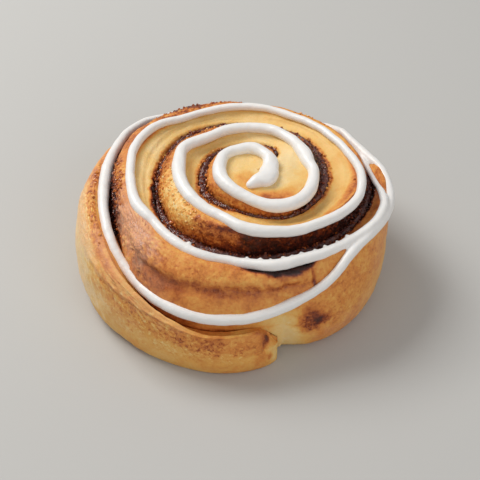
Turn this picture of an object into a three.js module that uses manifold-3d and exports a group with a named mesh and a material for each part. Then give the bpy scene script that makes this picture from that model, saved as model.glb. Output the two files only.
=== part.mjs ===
// A baked cinnamon roll: one strip of dough wound into a spiral, with a sheet of dark
// cinnamon filling between its turns and a thick white icing drizzle along the top.
// Millimetres, +Z up. The roll stands on z = 0, with the loose tail of the strip at its front (-Y).
//
// Everything follows the winding. "Turn" is the angle in degrees counted along the strip from
// the middle outwards, so turn 90, 450 and 810 all lie at the back (+Y), one wrap apart.

import * as THREE from 'three';
import { mergeVertices } from 'three/addons/utils/BufferGeometryUtils.js';
import Module from 'manifold-3d';

// The winding
const SPIRAL_CENTRE = { x: 6.69, y: -0.15 };  // middle of the spiral, off the middle of the roll
const CORE_RADIUS = 2;                      // flat eye where the strip begins
const CORE_HEIGHT = 43.3;
const STRIP_START = -60;                    // turn where the strip leaves the eye
const FIRST_FULL_TURN = STRIP_START + 360;
const SLIT_START = 21;                      // turn where the wraps part and filling begins
const SEAM = 1002;                          // turn where the filling comes out at the side
const TAIL_ROUNDING = 1338;                 // turn where the tail begins to round off
const TAIL_END = 1359;
const TAIL_ROUND_REACH = 0.6;               // degrees past the end where the rounding would close
const TAIL_DRAW_IN = 0.14;                  // how far its side draws in per degree
const TURN_STEP = 9;
const TAIL_TURNS = [1338, 1344, 1349, 1353, 1356.5, 1359];

// Filling
const FILLING_START = 48;
const FILLING_END = 993;
const FILLING_GAP = 0.3;
const FILLING_BOTTOM = 1;
const FILLING_CROWN = 0.5;
const FILLING_DEPTH = [[885, 0], [925, 1.5], [993, 1.5]];   // below the groove where the slit is narrow

// Side of the roll
const SIDE_START = 984;                     // turn from where the foot of the strip is in the open
const BASE_TUCK = [[984, 0], [1002, 6], [1012, 5], [1026, 4]];  // how far the side draws in below
const TUCK_SHARE = 0.5;                     // but no more than this share of the strip's width
const TUCK_CURVE = 0.9;
const FRONT_WAVE = 1.4;                     // ridge and hollow on the wide front slope
const WAVE_LENGTH = 0.9;                    // of the slope's width

// Icing
const ICING_TALLEST = 2;                    // most of the rope's radius upwards; wider parts lie flat
const ICING_LIFT = 0.4;                     // from the dough to the rope's middle, of its radius
const ICING_KEEL = 1.7;                     // its lower half is this much deeper, sunk in the dough
const ICING_SAG = 0.15;                     // how far it sags between two neighbouring steps
const ICING_TAUT_PASSES = 4;
const ICING_SIDES = 10;
const ICING_STEP = 3.6;
const ICING_STEP_SHARE = 0.3;               // shorter near the middle, by its share of the radius
const ICING_CLEARANCE = 0.4;                // from the filling
const BLOB_SEGMENTS = [10, 6];
const ICING_PROBES = [-0.7, -0.35, 0, 0.35, 0.7];  // across the rope, where it may touch the dough
const ICING_JOIN = [1152, 1157];            // behind the rim, where the inner and outer ropes overlap
const ICING_END = 0.6;                      // both ropes are drawn in to this share at their ends
const FLATNESS = 0.005;                     // facets that are this close to one plane become one

// Half the width of the slit between two wraps, as [turn, mm]
const SLIT_HALF_WIDTH = [
  [21, 0], [57, 1], [100, 1.1], [150, 1.4], [215, 1.4], [250, 0.75], [296, 0.65], [325, 1],
  [350, 1.6], [385, 1.6], [405, 1.3], [430, 0.8], [455, 0.85], [480, 1.2], [510, 1.1],
  [540, 0.9], [570, 1.3], [600, 1.4], [690, 1.4], [850, 1.2], [885, 1], [905, 0.8], [925, 0.7],
  [1002, 0.7],
];

// Radius of the groove between two wraps
const GROOVE_RADIUS = [
  [-60, 2], [-30, 2.6], [0, 4], [24, 6.5], [45, 10.8], [60, 13.3], [75, 14.5], [95, 14.9], [124, 15.5],
  [150, 16.3], [170, 16.2], [190, 16.7], [210, 17.7], [232, 17], [250, 17], [275, 18.9], [300, 21.1],
  [330, 21.6], [360, 22.9], [385, 24.4], [405, 26.6], [423, 28.8], [440, 29.1], [452, 30.2], [466, 32],
  [480, 33], [495, 33.5], [515, 32.2], [540, 31.4], [575, 32.1], [600, 30.9], [617, 29.4], [640, 29.3],
  [660, 30.3], [685, 33], [708, 36], [730, 38.6], [745, 39.2], [760, 39.8], [785, 41.6], [815, 45.2],
  [845, 48.6], [868, 50.2], [885, 48.6], [905, 46.3], [922, 46.2], [940, 49], [955, 50], [970, 48.8],
  [985, 46.2], [1002, 43.4],
];

// Height of the dough at the bottom of that groove
const GROOVE_HEIGHT = [
  [-60, 43.3], [0, 43.2], [24, 43], [60, 40], [95, 39.4], [180, 39.2], [270, 38], [360, 37.2],
  [450, 36], [540, 34.4], [585, 33.2], [630, 30.6], [680, 30.6], [720, 31.2], [752, 31.2],
  [790, 28], [830, 27.6], [868, 28.6], [900, 28], [925, 24.5], [945, 19.5], [965, 16],
  [985, 15.5], [993, 15], [1000, 9.5],
];

// Crest of each wrap: its radius and its height
const CREST_RADIUS = [
  [-60, 2], [0, 3.2], [40, 5.6], [65, 7.2], [90, 8.6], [150, 10.4], [180, 11.2], [210, 12.4], [240, 14.2],
  [270, 17.3], [285, 18.9], [300, 19.9], [320, 20], [340, 19.4], [380, 18.9], [404, 20], [424, 21.5],
  [450, 22], [477, 22], [494, 23], [515, 24.6], [540, 24.6], [577, 25.4], [607, 26.4], [630, 27.6],
  [656, 29], [682, 31.6], [704, 34], [730, 35], [758, 35.2], [787, 36.2], [811, 38], [835, 40.2],
  [857, 42.4], [872, 43.2], [900, 40.4], [931, 37.4], [960, 36.6], [990, 35.2], [1020, 35.6],
  [1038, 38.4], [1059, 40.4], [1080, 41.6], [1101, 42.2], [1125, 43.8], [1170, 47.8], [1208, 51.6],
  [1220, 52.8], [1232, 52.6], [1255, 51.4], [1282, 51.6], [1301, 53], [1320, 52.6], [1340, 50.6], [1350, 48],
  [1359, 43.5],
];
const CREST_HEIGHT = [
  [-60, 43.3], [0, 43.4], [60, 43.9], [90, 44], [180, 43.8], [240, 43], [280, 42.4], [360, 42.2],
  [450, 42], [540, 42.2], [600, 41.2], [630, 40.3], [680, 39.8], [720, 39.6], [765, 39.2], [811, 38.8],
  [857, 38.8], [900, 38.6], [931, 37.2], [960, 35], [990, 32.6], [1035, 32.4], [1080, 34.2], [1112, 32.8],
  [1130, 30.6], [1150, 28.8], [1180, 29.4], [1212, 32.2], [1260, 33], [1290, 29.8], [1305, 26],
  [1320, 21], [1334, 17.6], [1346, 17.8], [1351, 17.6], [1355, 14.2], [1359, 8.5],
];

// Height of the lip just outside the inner groove of each wrap
const LIP_HEIGHT = [
  [-60, 43.3], [384, 42.6], [410, 41], [440, 40.2], [540, 39.6], [630, 38.2], [700, 37.2], [765, 36.8],
  [811, 36.4], [857, 36.2], [900, 36.2], [945, 34.6], [975, 32.3], [1000, 31.8], [1035, 31.6],
  [1060, 32.6], [1080, 32.8], [1112, 32], [1130, 30], [1150, 28.4], [1175, 28.4], [1215, 30.6],
  [1260, 31.4], [1290, 26.4], [1305, 20.6], [1320, 17.2], [1335, 16.4], [1345, 17], [1351, 16.8],
  [1355, 13.4], [1359, 8],
];

// Widest radius of the side, and the height where it is widest
const SIDE_RADIUS = [
  [1002, 42.7], [1008, 43.5], [1014, 44.3], [1022, 44.8], [1038, 44.7], [1060, 44.3], [1080, 44.8],
  [1092, 45], [1105, 45.4], [1125, 46], [1150, 47.8], [1170, 50.6], [1200, 53.4], [1225, 55.7],
  [1250, 58.4], [1270, 59.2], [1290, 58.2], [1305, 56.4], [1320, 54.5], [1335, 53.2], [1345, 52],
];
const BULGE_HEIGHT = [
  [984, 15.5], [1000, 15], [1008, 13], [1030, 11.5], [1080, 13], [1200, 13], [1290, 12], [1330, 9.5],
  [1359, 8.5],
];

// Form of the slope outside the crest: 1 is a round shoulder, less is squarer, more falls off sooner
const SLOPE_POWER = [
  [-60, 1], [390, 1], [425, 1.5], [490, 1.5], [525, 1], [560, 0.85], [600, 0.6], [700, 0.6], [760, 0.8],
  [800, 0.75], [825, 0.62], [857, 0.62], [885, 0.8], [930, 0.8], [960, 0.85], [1002, 0.85], [1040, 0.8],
  [1070, 0.5], [1100, 0.5], [1120, 0.8], [1200, 0.85], [1260, 0.85], [1300, 0.8], [1359, 0.8],
];
const FRONT_SLOPE = [[900, 0], [930, 0.35], [960, 0.9], [985, 1], [1035, 1], [1055, 0.3], [1070, 0]];

// Path of the icing drizzle over the top of the wraps, as [turn, radius]
const ICING_OVER_TOP = [
  [-98, 9.9], [-86, 8.5], [-74, 8.1], [-62, 7.9], [-50, 6.9], [-38, 6], [-20, 5.5], [0, 5.4],
  [40, 5.7], [58, 6], [76, 6.7], [88, 7.2], [112, 7.9], [130, 8.4], [142, 9.2], [154, 9.9],
  [172, 10.4], [190, 11.1], [208, 12.1], [226, 13], [244, 14], [256, 14.9], [268, 16.4], [280, 18.3],
  [292, 19.8], [304, 20.6], [316, 20.8], [328, 20.5], [340, 19.8], [358, 18.8], [370, 17.6],
  [388, 17.7], [400, 18.5], [418, 19.7], [430, 20.6], [448, 21.1], [466, 21.3], [484, 21.5],
  [496, 21.8], [502, 22.6], [514, 24.5], [520, 24.8], [532, 24.1], [550, 24], [574, 24.1], [592, 24],
  [604, 24.1], [622, 27], [634, 28], [646, 28.7], [658, 29.5], [670, 30.5], [682, 31.9], [694, 33.4],
  [706, 34.7], [718, 34.5], [730, 33.8], [742, 33.2], [754, 33.2], [766, 33.7], [778, 34.3], [790, 35],
  [802, 36.4], [826, 38.2], [838, 38.9], [850, 40], [856, 41.2], [868, 42.4], [880, 42], [892, 40.4],
  [904, 39.5], [922, 38.9], [934, 37.2], [952, 37.2], [964, 36.8], [976, 34.9], [988, 35.3],
  [1000, 36.7], [1012, 36.3], [1024, 37.2], [1036, 38.2], [1048, 40.2], [1060, 42.1], [1068, 42.5],
  [1080, 40.7], [1090, 39.9], [1098, 40.1], [1108, 41], [1114, 42],
];

// Path from there on, as [turn, radius, height]: over the edge at the back right and along the back
// of the side, up to the rim at the left, down across the front, and up again at the right
const ICING_ROUND_SIDE = [
  [1118, 42.6, 33], [1125, 44, 32.6], [1131, 45.4, 31], [1138, 46.8, 28.8], [1150, 48.2, 26.8],
  [1175, 51, 26.4], [1193, 52.8, 27.8], [1201, 52.4, 30.2], [1207, 51.4, 31.7], [1211, 52.2, 32.2],
  [1217, 53.4, 32.4], [1223, 53.4, 32.5], [1231, 52.1, 32.8], [1243, 50.4, 32.8], [1253, 49.3, 32],
  [1263, 48.9, 31.9], [1272, 48.9, 31.4], [1280, 49.2, 30.2], [1288, 49.4, 27.8], [1296, 49, 24.6],
  [1305, 49.3, 23.6], [1314, 49.8, 23.2], [1323, 49.6, 22.5], [1330, 48.8, 21.7], [1346, 46.2, 21.3],
  [1352, 45.2, 21.7], [1360, 43.7, 22.4], [1372, 42.7, 24.4], [1382, 42.7, 27.5], [1388, 42.3, 29.8],
  [1392, 41.8, 31.2], [1400, 41.2, 32.6], [1412, 41.9, 33], [1424, 43.4, 32.7], [1433, 44.1, 32.2],
  [1442, 44.2, 32.3], [1450, 44.2, 32.5], [1458, 43.4, 33], [1466, 42.1, 33.3], [1474, 42.2, 33],
  [1480, 43, 32.9], [1486, 44.1, 32.8],
];

// Thickness of the icing along its path, as [turn, radius of the rope]
const ICING_THICKNESS = [
  [-98, 1.3], [-86, 2], [-74, 2.6], [-62, 3], [-38, 3.05], [-20, 2.6], [10, 2.3], [34, 1.85],
  [60, 1.7], [88, 1.85], [142, 1.65], [190, 2], [225, 2.05], [262, 1.68], [305, 1.95], [325, 1.95],
  [350, 1.68], [362, 1.75], [376, 2.2], [388, 2.1], [402, 1.72], [450, 1.6], [508, 1.7], [544, 2.05],
  [574, 1.9], [600, 1.6], [630, 1.75], [660, 1.55], [700, 1.42], [724, 1.3], [770, 1.18], [850, 1.2],
  [870, 1.36], [905, 1.45], [922, 1.75], [934, 1.45], [955, 1.53], [975, 1.35], [1008, 1.7],
  [1030, 1.45], [1060, 1.5], [1072, 1.2], [1084, 0.8], [1098, 0.8], [1110, 1.05], [1125, 1.15],
  [1150, 1.25], [1214, 1.25], [1235, 1.5], [1250, 1.88], [1265, 1.62], [1286, 1.55], [1310, 1.68],
  [1358, 1.72], [1376, 1.35], [1400, 1.45], [1418, 1.6], [1436, 1.6], [1450, 1.3], [1466, 1.3],
  [1486, 1.1],
];

// Section of a wrap
const LIP_WIDTH = 1.6;
const LIP_SHARE = 0.18;                                 // most of the strip's width that it takes
const LIP_BEND = { out: 0.4, up: 0.75 };                // halfway point of the lip's round edge
const INSIDE_CURVE = 1.5;
const CREST_NEAR_IN = 0.3;                              // the crest stays these shares of the width
const CREST_NEAR_OUT = 0.15;                            // off the inner and the outer edge
const INSIDE_FRACTIONS = [0, 0.3, 0.6, 0.85, 1];        // lip to crest
const OUTSIDE_ANGLES = [16, 32, 48, 64, 78, 90];        // over the crest and down the slope
const LOWER_STEPS = 3;                                  // from the widest place down to the base

const radians = THREE.MathUtils.degToRad;

/** Value of a [turn, value] table at one turn, on a curve that never overshoots its points. */
function along(table, turn) {
  const last = table.length - 1;
  if (turn <= table[0][0]) return table[0][1];
  if (turn >= table[last][0]) return table[last][1];
  const span = (i) => table[i + 1][0] - table[i][0];
  const rise = (i) => (table[i + 1][1] - table[i][1]) / span(i);
  const tangent = (i) => {
    if (i === 0) return rise(0);
    if (i === last) return rise(last - 1);
    const before = rise(i - 1);
    const after = rise(i);
    if (before * after <= 0) return 0;
    const mean = (before * span(i) + after * span(i - 1)) / (span(i - 1) + span(i));
    return Math.sign(before) * Math.min(Math.abs(mean), 3 * Math.abs(before), 3 * Math.abs(after));
  };
  let i = 0;
  while (table[i + 1][0] <= turn) i += 1;
  const h = span(i);
  const s = (turn - table[i][0]) / h;
  return (2 * s ** 3 - 3 * s ** 2 + 1) * table[i][1]
    + (s ** 3 - 2 * s ** 2 + s) * h * tangent(i)
    + (3 * s ** 2 - 2 * s ** 3) * table[i + 1][1]
    + (s ** 3 - s ** 2) * h * tangent(i + 1);
}

const grooveRadius = (turn) => along(GROOVE_RADIUS, turn);

const slitHalfWidth = (turn) => along(SLIT_HALF_WIDTH, turn);

/** Inner edge of the strip: the eye of the spiral, then the outside of the groove one wrap in. */
function innerEdge(turn) {
  if (turn < FIRST_FULL_TURN) return CORE_RADIUS;
  return grooveRadius(turn - 360) + slitHalfWidth(turn - 360);
}

/** Outer edge: the next groove, then past the seam the side of the roll, rounded off at the tail. */
function outerEdge(turn) {
  if (turn <= SEAM) return grooveRadius(turn) - slitHalfWidth(turn);
  if (turn <= TAIL_ROUNDING) return along(SIDE_RADIUS, turn);
  const inner = innerEdge(turn);
  const past = (turn - TAIL_ROUNDING) / (TAIL_END + TAIL_ROUND_REACH - TAIL_ROUNDING);
  const full = along(SIDE_RADIUS, TAIL_ROUNDING) - TAIL_DRAW_IN * (turn - TAIL_ROUNDING);
  return inner + (full - inner) * Math.sqrt(1 - past ** 2);
}

/** Section of the strip at one turn: [radius, height] from the inner slit over the top to the base. */
function sectionAt(turn) {
  const inner = innerEdge(turn);
  const outer = outerEdge(turn);
  const width = outer - inner;
  const innerHeight = along(GROOVE_HEIGHT, turn - 360);
  const outerHeight = along(turn <= SIDE_START ? GROOVE_HEIGHT : BULGE_HEIGHT, turn);
  const crestHeight = along(CREST_HEIGHT, turn);
  const lipHeight = turn < FIRST_FULL_TURN ? innerHeight : along(LIP_HEIGHT, turn);
  const nearest = inner + CREST_NEAR_IN * width;
  const furthest = outer - CREST_NEAR_OUT * width;
  const crest = THREE.MathUtils.clamp(along(CREST_RADIUS, turn), nearest, furthest);
  const lipWidth = Math.min(LIP_WIDTH, LIP_SHARE * width);

  const section = [[inner, innerHeight]];
  section.push([inner + LIP_BEND.out * lipWidth, innerHeight + LIP_BEND.up * (lipHeight - innerHeight)]);
  for (const f of INSIDE_FRACTIONS) {
    const lip = inner + lipWidth;
    section.push([lip + f * (crest - lip), lipHeight + (crestHeight - lipHeight) * f ** INSIDE_CURVE]);
  }
  const power = along(SLOPE_POWER, turn);
  const wave = FRONT_WAVE * along(FRONT_SLOPE, turn);
  for (const angle of OUTSIDE_ANGLES) {
    const out = Math.sin(radians(angle)) ** power;
    const up = angle < 90 ? Math.cos(radians(angle)) ** power : 0;
    const ripple = wave * Math.sin(2 * Math.PI * out / WAVE_LENGTH) * Math.sqrt(1 - out);
    section.push([crest + (outer - crest) * out, outerHeight + (crestHeight - outerHeight) * up + ripple]);
  }
  if (turn <= SIDE_START) {
    for (let i = 1; i < LOWER_STEPS; i += 1) section.push([outer, outerHeight]);
    section.push([outer, 0]);
    return section;
  }
  const tuck = Math.min(along(BASE_TUCK, turn), TUCK_SHARE * width);
  for (let i = 1; i < LOWER_STEPS; i += 1) {
    const angle = Math.PI / 2 * i / LOWER_STEPS;
    const drawn = 1 - Math.cos(angle) ** TUCK_CURVE;
    const down = Math.sin(angle) ** TUCK_CURVE;
    section.push([outer - tuck * drawn, outerHeight * (1 - down)]);
  }
  section.push([outer - tuck, 0]);
  return section;
}

function place(radius, turn, height) {
  const angle = radians(turn);
  return new THREE.Vector3(
    SPIRAL_CENTRE.x + radius * Math.cos(angle),
    SPIRAL_CENTRE.y + radius * Math.sin(angle),
    height,
  );
}

/** Collects triangles, and leaves out those that have shrunk to a line. */
class TriangleList {
  constructor() {
    this.corners = [];
  }

  triangle(a, b, c) {
    const tiny = 1e-4;
    if (a.distanceTo(b) < tiny || b.distanceTo(c) < tiny || c.distanceTo(a) < tiny) return;
    this.corners.push(...a.toArray(), ...b.toArray(), ...c.toArray());
  }

  quad(a, b, c, d) {
    this.triangle(a, b, c);
    this.triangle(a, c, d);
  }

  geometry() {
    const geometry = new THREE.BufferGeometry();
    geometry.setAttribute('position', new THREE.Float32BufferAttribute(this.corners, 3));
    return mergeVertices(geometry, 1e-3);
  }
}

function stripTurns() {
  const turns = [];
  for (let turn = STRIP_START; turn < TAIL_ROUNDING; turn += TURN_STEP) turns.push(turn);
  return turns.concat(TAIL_TURNS);
}

/** The wound strip of dough, from the eye of the spiral to the tail. */
function doughStrip() {
  const list = new TriangleList();
  const eyeTop = place(0, 0, CORE_HEIGHT);
  const eyeBase = place(0, 0, 0);
  const ribs = stripTurns().map((turn) => ({
    turn,
    skin: sectionAt(turn).map(([radius, height]) => place(radius, turn, height)),
    heel: place(innerEdge(turn), turn, 0),
  }));
  for (let k = 0; k + 1 < ribs.length; k += 1) {
    const rib = ribs[k];
    const next = ribs[k + 1];
    const joined = next.turn <= SLIT_START;
    const lastSkin = rib.skin.length - (joined ? LOWER_STEPS + 1 : 1);
    for (let i = 0; i < lastSkin; i += 1) {
      list.quad(rib.skin[i], rib.skin[i + 1], next.skin[i + 1], next.skin[i]);
    }
    list.quad(rib.skin.at(-1), rib.heel, next.heel, next.skin.at(-1));
    if (rib.turn - 360 >= SLIT_START) list.quad(rib.heel, rib.skin[0], next.skin[0], next.heel);
    if (next.turn <= FIRST_FULL_TURN) {
      list.triangle(eyeTop, rib.skin[0], next.skin[0]);
      list.triangle(eyeBase, next.heel, rib.heel);
    }
  }
  const tail = ribs.at(-1);
  const outline = [tail.heel, ...tail.skin];
  const bulge = tail.skin.length - LOWER_STEPS;
  for (let i = 0; i < outline.length; i += 1) {
    const j = (i + 1) % outline.length;
    if (i !== bulge && j !== bulge) list.triangle(outline[bulge], outline[i], outline[j]);
  }
  return list.geometry();
}

/** The sheet of filling between the wraps, from near the base up to the grooves. */
function fillingSheet() {
  const list = new TriangleList();
  const ribs = [];
  for (let turn = FILLING_START; turn <= FILLING_END; turn += TURN_STEP) {
    const half = slitHalfWidth(turn) - FILLING_GAP;
    const radius = grooveRadius(turn);
    const top = along(GROOVE_HEIGHT, turn) - along(FILLING_DEPTH, turn);
    ribs.push([
      place(radius - half, turn, FILLING_BOTTOM),
      place(radius - half, turn, top),
      place(radius, turn, top + FILLING_CROWN),
      place(radius + half, turn, top),
      place(radius + half, turn, FILLING_BOTTOM),
    ]);
  }
  for (let k = 0; k + 1 < ribs.length; k += 1) {
    for (let i = 0; i < ribs[k].length; i += 1) {
      const j = (i + 1) % ribs[k].length;
      list.quad(ribs[k][i], ribs[k][j], ribs[k + 1][j], ribs[k + 1][i]);
    }
  }
  const closeEnd = (rib, flip) => {
    for (let i = 1; i + 1 < rib.length; i += 1) {
      if (flip) list.triangle(rib[0], rib[i + 1], rib[i]);
      else list.triangle(rib[0], rib[i], rib[i + 1]);
    }
  };
  closeEnd(ribs[0], true);
  closeEnd(ribs.at(-1), false);
  return list.geometry();
}

/** Height of the dough under a place, given by its angle in degrees and its radius. */
function doughHeight(angle, radius) {
  let turn = THREE.MathUtils.euclideanModulo(angle - STRIP_START, 360) + STRIP_START;
  while (turn + 360 <= TAIL_END && radius > (turn <= SEAM ? grooveRadius(turn) : Infinity)) turn += 360;
  const section = sectionAt(turn);
  const top = section.slice(0, section.length - LOWER_STEPS);
  if (radius <= top[0][0]) return top[0][1];
  for (let i = 0; i + 1 < top.length; i += 1) {
    const [r0, z0] = top[i];
    const [r1, z1] = top[i + 1];
    if (radius <= r1) return z0 + (z1 - z0) * (radius - r0) / Math.max(r1 - r0, 1e-6);
  }
  return top.at(-1)[1];
}

const icingThickness = (turn) => along(ICING_THICKNESS, turn);

/** Middle of the icing on the top of the wraps, where it rests on the highest dough below it. */
function icingOnTop(turn) {
  const radius = along(ICING_OVER_TOP, turn);
  const thickness = icingThickness(turn);
  const lift = ICING_LIFT * Math.min(thickness, ICING_TALLEST);
  const heights = ICING_PROBES.map((share) => (
    doughHeight(turn, radius + share * thickness) + lift * Math.sqrt(1 - share ** 2)));
  return { turn, radius, height: Math.max(...heights) };
}

function icingMiddle(turn) {
  if (turn < ICING_ROUND_SIDE[0][0]) return icingOnTop(turn);
  const heights = ICING_ROUND_SIDE.map((row) => [row[0], row[2]]);
  return { turn, radius: along(ICING_ROUND_SIDE, turn), height: along(heights, turn) };
}

/** Middle line of the icing, drawn taut so that it bridges the grooves that it crosses. */
function icingLine(fromTurn, toTurn) {
  const middles = [];
  for (let turn = fromTurn; turn < toTurn;) {
    middles.push(icingMiddle(turn));
    const { radius } = middles.at(-1);
    turn += THREE.MathUtils.radToDeg(Math.min(ICING_STEP / radius, ICING_STEP_SHARE));
  }
  middles.push(icingMiddle(toTurn));
  for (let pass = 0; pass < ICING_TAUT_PASSES; pass += 1) {
    for (let i = 1; i + 1 < middles.length; i += 1) {
      const level = (middles[i - 1].height + middles[i + 1].height) / 2;
      middles[i].height = Math.max(middles[i].height, level - ICING_SAG);
    }
  }
  return middles;
}

/** A rope with the icing's thickness, made thicker all round by the growth. */
function ropeAlong(middles, growth) {
  const list = new TriangleList();
  const points = middles.map((at) => place(at.radius, at.turn, at.height));
  const rings = points.map((point, k) => {
    const before = points[Math.max(k - 1, 0)];
    const after = points[Math.min(k + 1, points.length - 1)];
    const ahead = after.clone().sub(before).normalize();
    const beside = ahead.clone().cross(new THREE.Vector3(0, 0, 1)).normalize();
    const upward = beside.clone().cross(ahead);
    const isEnd = k === 0 || k === points.length - 1;
    const thickness = icingThickness(middles[k].turn) * (isEnd ? ICING_END : 1);
    const wide = thickness + growth;
    const tall = Math.min(thickness, ICING_TALLEST) + growth;
    const ring = [];
    for (let i = 0; i < ICING_SIDES; i += 1) {
      const angle = (i + 0.5) * 2 * Math.PI / ICING_SIDES;
      ring.push(point.clone()
        .addScaledVector(beside, wide * Math.cos(angle))
        .addScaledVector(upward, tall * Math.sin(angle) * (angle > Math.PI ? ICING_KEEL : 1)));
    }
    return ring;
  });
  for (let k = 0; k + 1 < rings.length; k += 1) {
    for (let i = 0; i < ICING_SIDES; i += 1) {
      const j = (i + 1) % ICING_SIDES;
      list.quad(rings[k][i], rings[k + 1][i], rings[k + 1][j], rings[k][j]);
    }
  }
  const [first, last] = [rings[0], rings.at(-1)];
  for (let i = 1; i + 1 < ICING_SIDES; i += 1) {
    list.triangle(first[0], first[i], first[i + 1]);
    list.triangle(last[0], last[i + 1], last[i]);
  }
  return list.geometry();
}

function blobAt(middle, growth) {
  const blob = new THREE.SphereGeometry(icingThickness(middle.turn) + growth, ...BLOB_SEGMENTS);
  blob.rotateX(Math.PI / 2);
  const { x, y, z } = place(middle.radius, middle.turn, middle.height);
  blob.translate(x, y, z);
  return blob;
}

/** The shapes of the drizzle, each grown by the same amount. */
function icingShapes(growth) {
  const inner = icingLine(ICING_OVER_TOP[0][0], ICING_JOIN[1]);
  const outer = icingLine(ICING_JOIN[0], ICING_ROUND_SIDE.at(-1)[0]);
  return [
    ropeAlong(inner, growth),
    ropeAlong(outer, growth),
    blobAt(inner[0], growth),
    blobAt(outer.at(-1), growth),
  ];
}

const wasm = await Module();
wasm.setup();

function solidOf(geometry) {
  const bare = geometry.clone();
  bare.deleteAttribute('normal');
  bare.deleteAttribute('uv');
  const merged = mergeVertices(bare, 1e-3);
  return new wasm.Manifold(new wasm.Mesh({
    numProp: 3,
    vertProperties: new Float32Array(merged.attributes.position.array),
    triVerts: new Uint32Array(merged.index.array),
  }));
}

/** The largest piece of a solid, without the specks of air left where the drizzle meets itself. */
function mainPiece(solid) {
  const pieces = solid.decompose();
  pieces.sort((a, b) => b.volume() - a.volume());
  return pieces[0].asOriginal().simplify(FLATNESS);
}

function geometryOf(solid) {
  const { vertProperties, triVerts } = solid.getMesh();
  const geometry = new THREE.BufferGeometry();
  geometry.setAttribute('position', new THREE.BufferAttribute(new Float32Array(vertProperties), 3));
  geometry.setIndex(new THREE.BufferAttribute(new Uint32Array(triVerts), 1));
  geometry.computeVertexNormals();
  return geometry;
}

function icedDough() {
  const start = solidOf(doughStrip());
  return geometryOf(mainPiece(icingShapes(0).reduce((joined, shape) => joined.add(solidOf(shape)), start)));
}

function clearedFilling() {
  const start = solidOf(fillingSheet());
  const cutters = icingShapes(ICING_CLEARANCE);
  return geometryOf(mainPiece(cutters.reduce((left, shape) => left.subtract(solidOf(shape)), start)));
}

function namedMesh(name, geometry, color, roughness) {
  const mesh = new THREE.Mesh(geometry, new THREE.MeshStandardMaterial({ color, roughness, metalness: 0 }));
  mesh.name = name;
  return mesh;
}

const roll = new THREE.Group();
roll.name = 'cinnamon_roll';
roll.add(namedMesh('dough', icedDough(), 0xd9a566, 0.6));
roll.add(namedMesh('filling', clearedFilling(), 0x3a2019, 0.45));

export default roll;
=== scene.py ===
import itertools
import math

import bmesh
import bpy
import numpy as np
from mathutils import Matrix, Vector, noise


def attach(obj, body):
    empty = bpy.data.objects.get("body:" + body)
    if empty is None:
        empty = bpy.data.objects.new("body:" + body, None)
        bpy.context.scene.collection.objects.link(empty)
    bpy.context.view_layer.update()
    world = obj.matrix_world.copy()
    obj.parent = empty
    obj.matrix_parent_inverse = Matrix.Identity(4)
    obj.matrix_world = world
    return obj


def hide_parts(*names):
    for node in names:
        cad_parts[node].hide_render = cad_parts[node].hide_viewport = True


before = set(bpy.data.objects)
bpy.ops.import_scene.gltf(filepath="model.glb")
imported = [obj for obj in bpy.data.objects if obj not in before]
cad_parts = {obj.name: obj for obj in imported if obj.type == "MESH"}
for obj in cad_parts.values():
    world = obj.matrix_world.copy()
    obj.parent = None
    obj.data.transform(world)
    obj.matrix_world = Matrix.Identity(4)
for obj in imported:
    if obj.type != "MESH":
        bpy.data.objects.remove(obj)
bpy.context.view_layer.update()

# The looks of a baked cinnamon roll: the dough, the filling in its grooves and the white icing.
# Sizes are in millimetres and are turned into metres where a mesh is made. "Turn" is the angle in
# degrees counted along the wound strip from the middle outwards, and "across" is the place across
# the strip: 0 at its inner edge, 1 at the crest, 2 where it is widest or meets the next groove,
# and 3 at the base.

MM = 0.001

# Loose crumbs: how many, how large, how far they stand proud, and how uneven they are
SEED = 7
CRUMBS_ON_DOUGH = 1700
CRUMBS_IN_GROOVES = 850
CRUMB_SIZES = (0.3, 1.4)
CRUMB_SIZES_AGAIN = (0.7, 1)  # more small ones than large ones
CRUMB_PROUD = 0.06  # as a share of their size
CRUMB_FORMS = 8
CRUMB_CORNERS = 12
CRUMB_ROUGH = (0.75, 1.15)
CRUMB_STRETCH = (0.75, 1.2)
CRUMB_TONE = (0.78, 0.07)  # in the grooves: its middle and its spread
CRUMB_TONE_ON_DOUGH = (0.03, 0.1)  # the same, added to the dough's own
GRAIN_WITHOUT_CRUMBS = 0.2
CRUMB_CROWDING = 1.5  # more crowds them where the sugar is thickest
CRUMBS_LOWEST = 3
LEAST_UPWARD = -0.2  # upward part of the normal above which crumbs stay on the dough
LEAST_UPWARD_IN_GROOVE = 0.3
NEIGHBOURS_WITHIN = 1.2  # corners this close share an edge
GROOVES_IN_SIGHT = 24  # height above which the grooves show

# Camera: where it looks, how far off it is, and its angle above the floor
CAMERA_TARGET = (2.29, -0.25, 20)
CAMERA_DISTANCE = 377.8
CAMERA_ELEVATION = 42
CAMERA_DIP = 1.01  # how much lower than the target it points, in degrees
CAMERA_LENS = 85
CAMERA_SENSOR = 36

# Lights as (name, azimuth, elevation, distance and size in m, power, colour)
LIGHTS = [
    ("key", 145, 50, 0.9, 0.45, 6.4, (1, 0.98, 0.95)),
    ("fill", 300, 30, 1.1, 0.8, 2.9, (1, 0.98, 0.96)),
]
LIT_POINT = (0, 0, 20)
WORLD_COLOUR = (1, 0.98, 0.95, 1)
WORLD_STRENGTH = 0.42
FLOOR_HALF = 3000.0
FLOOR_DROP = 0.05  # keeps the floor from touching the base

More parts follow.
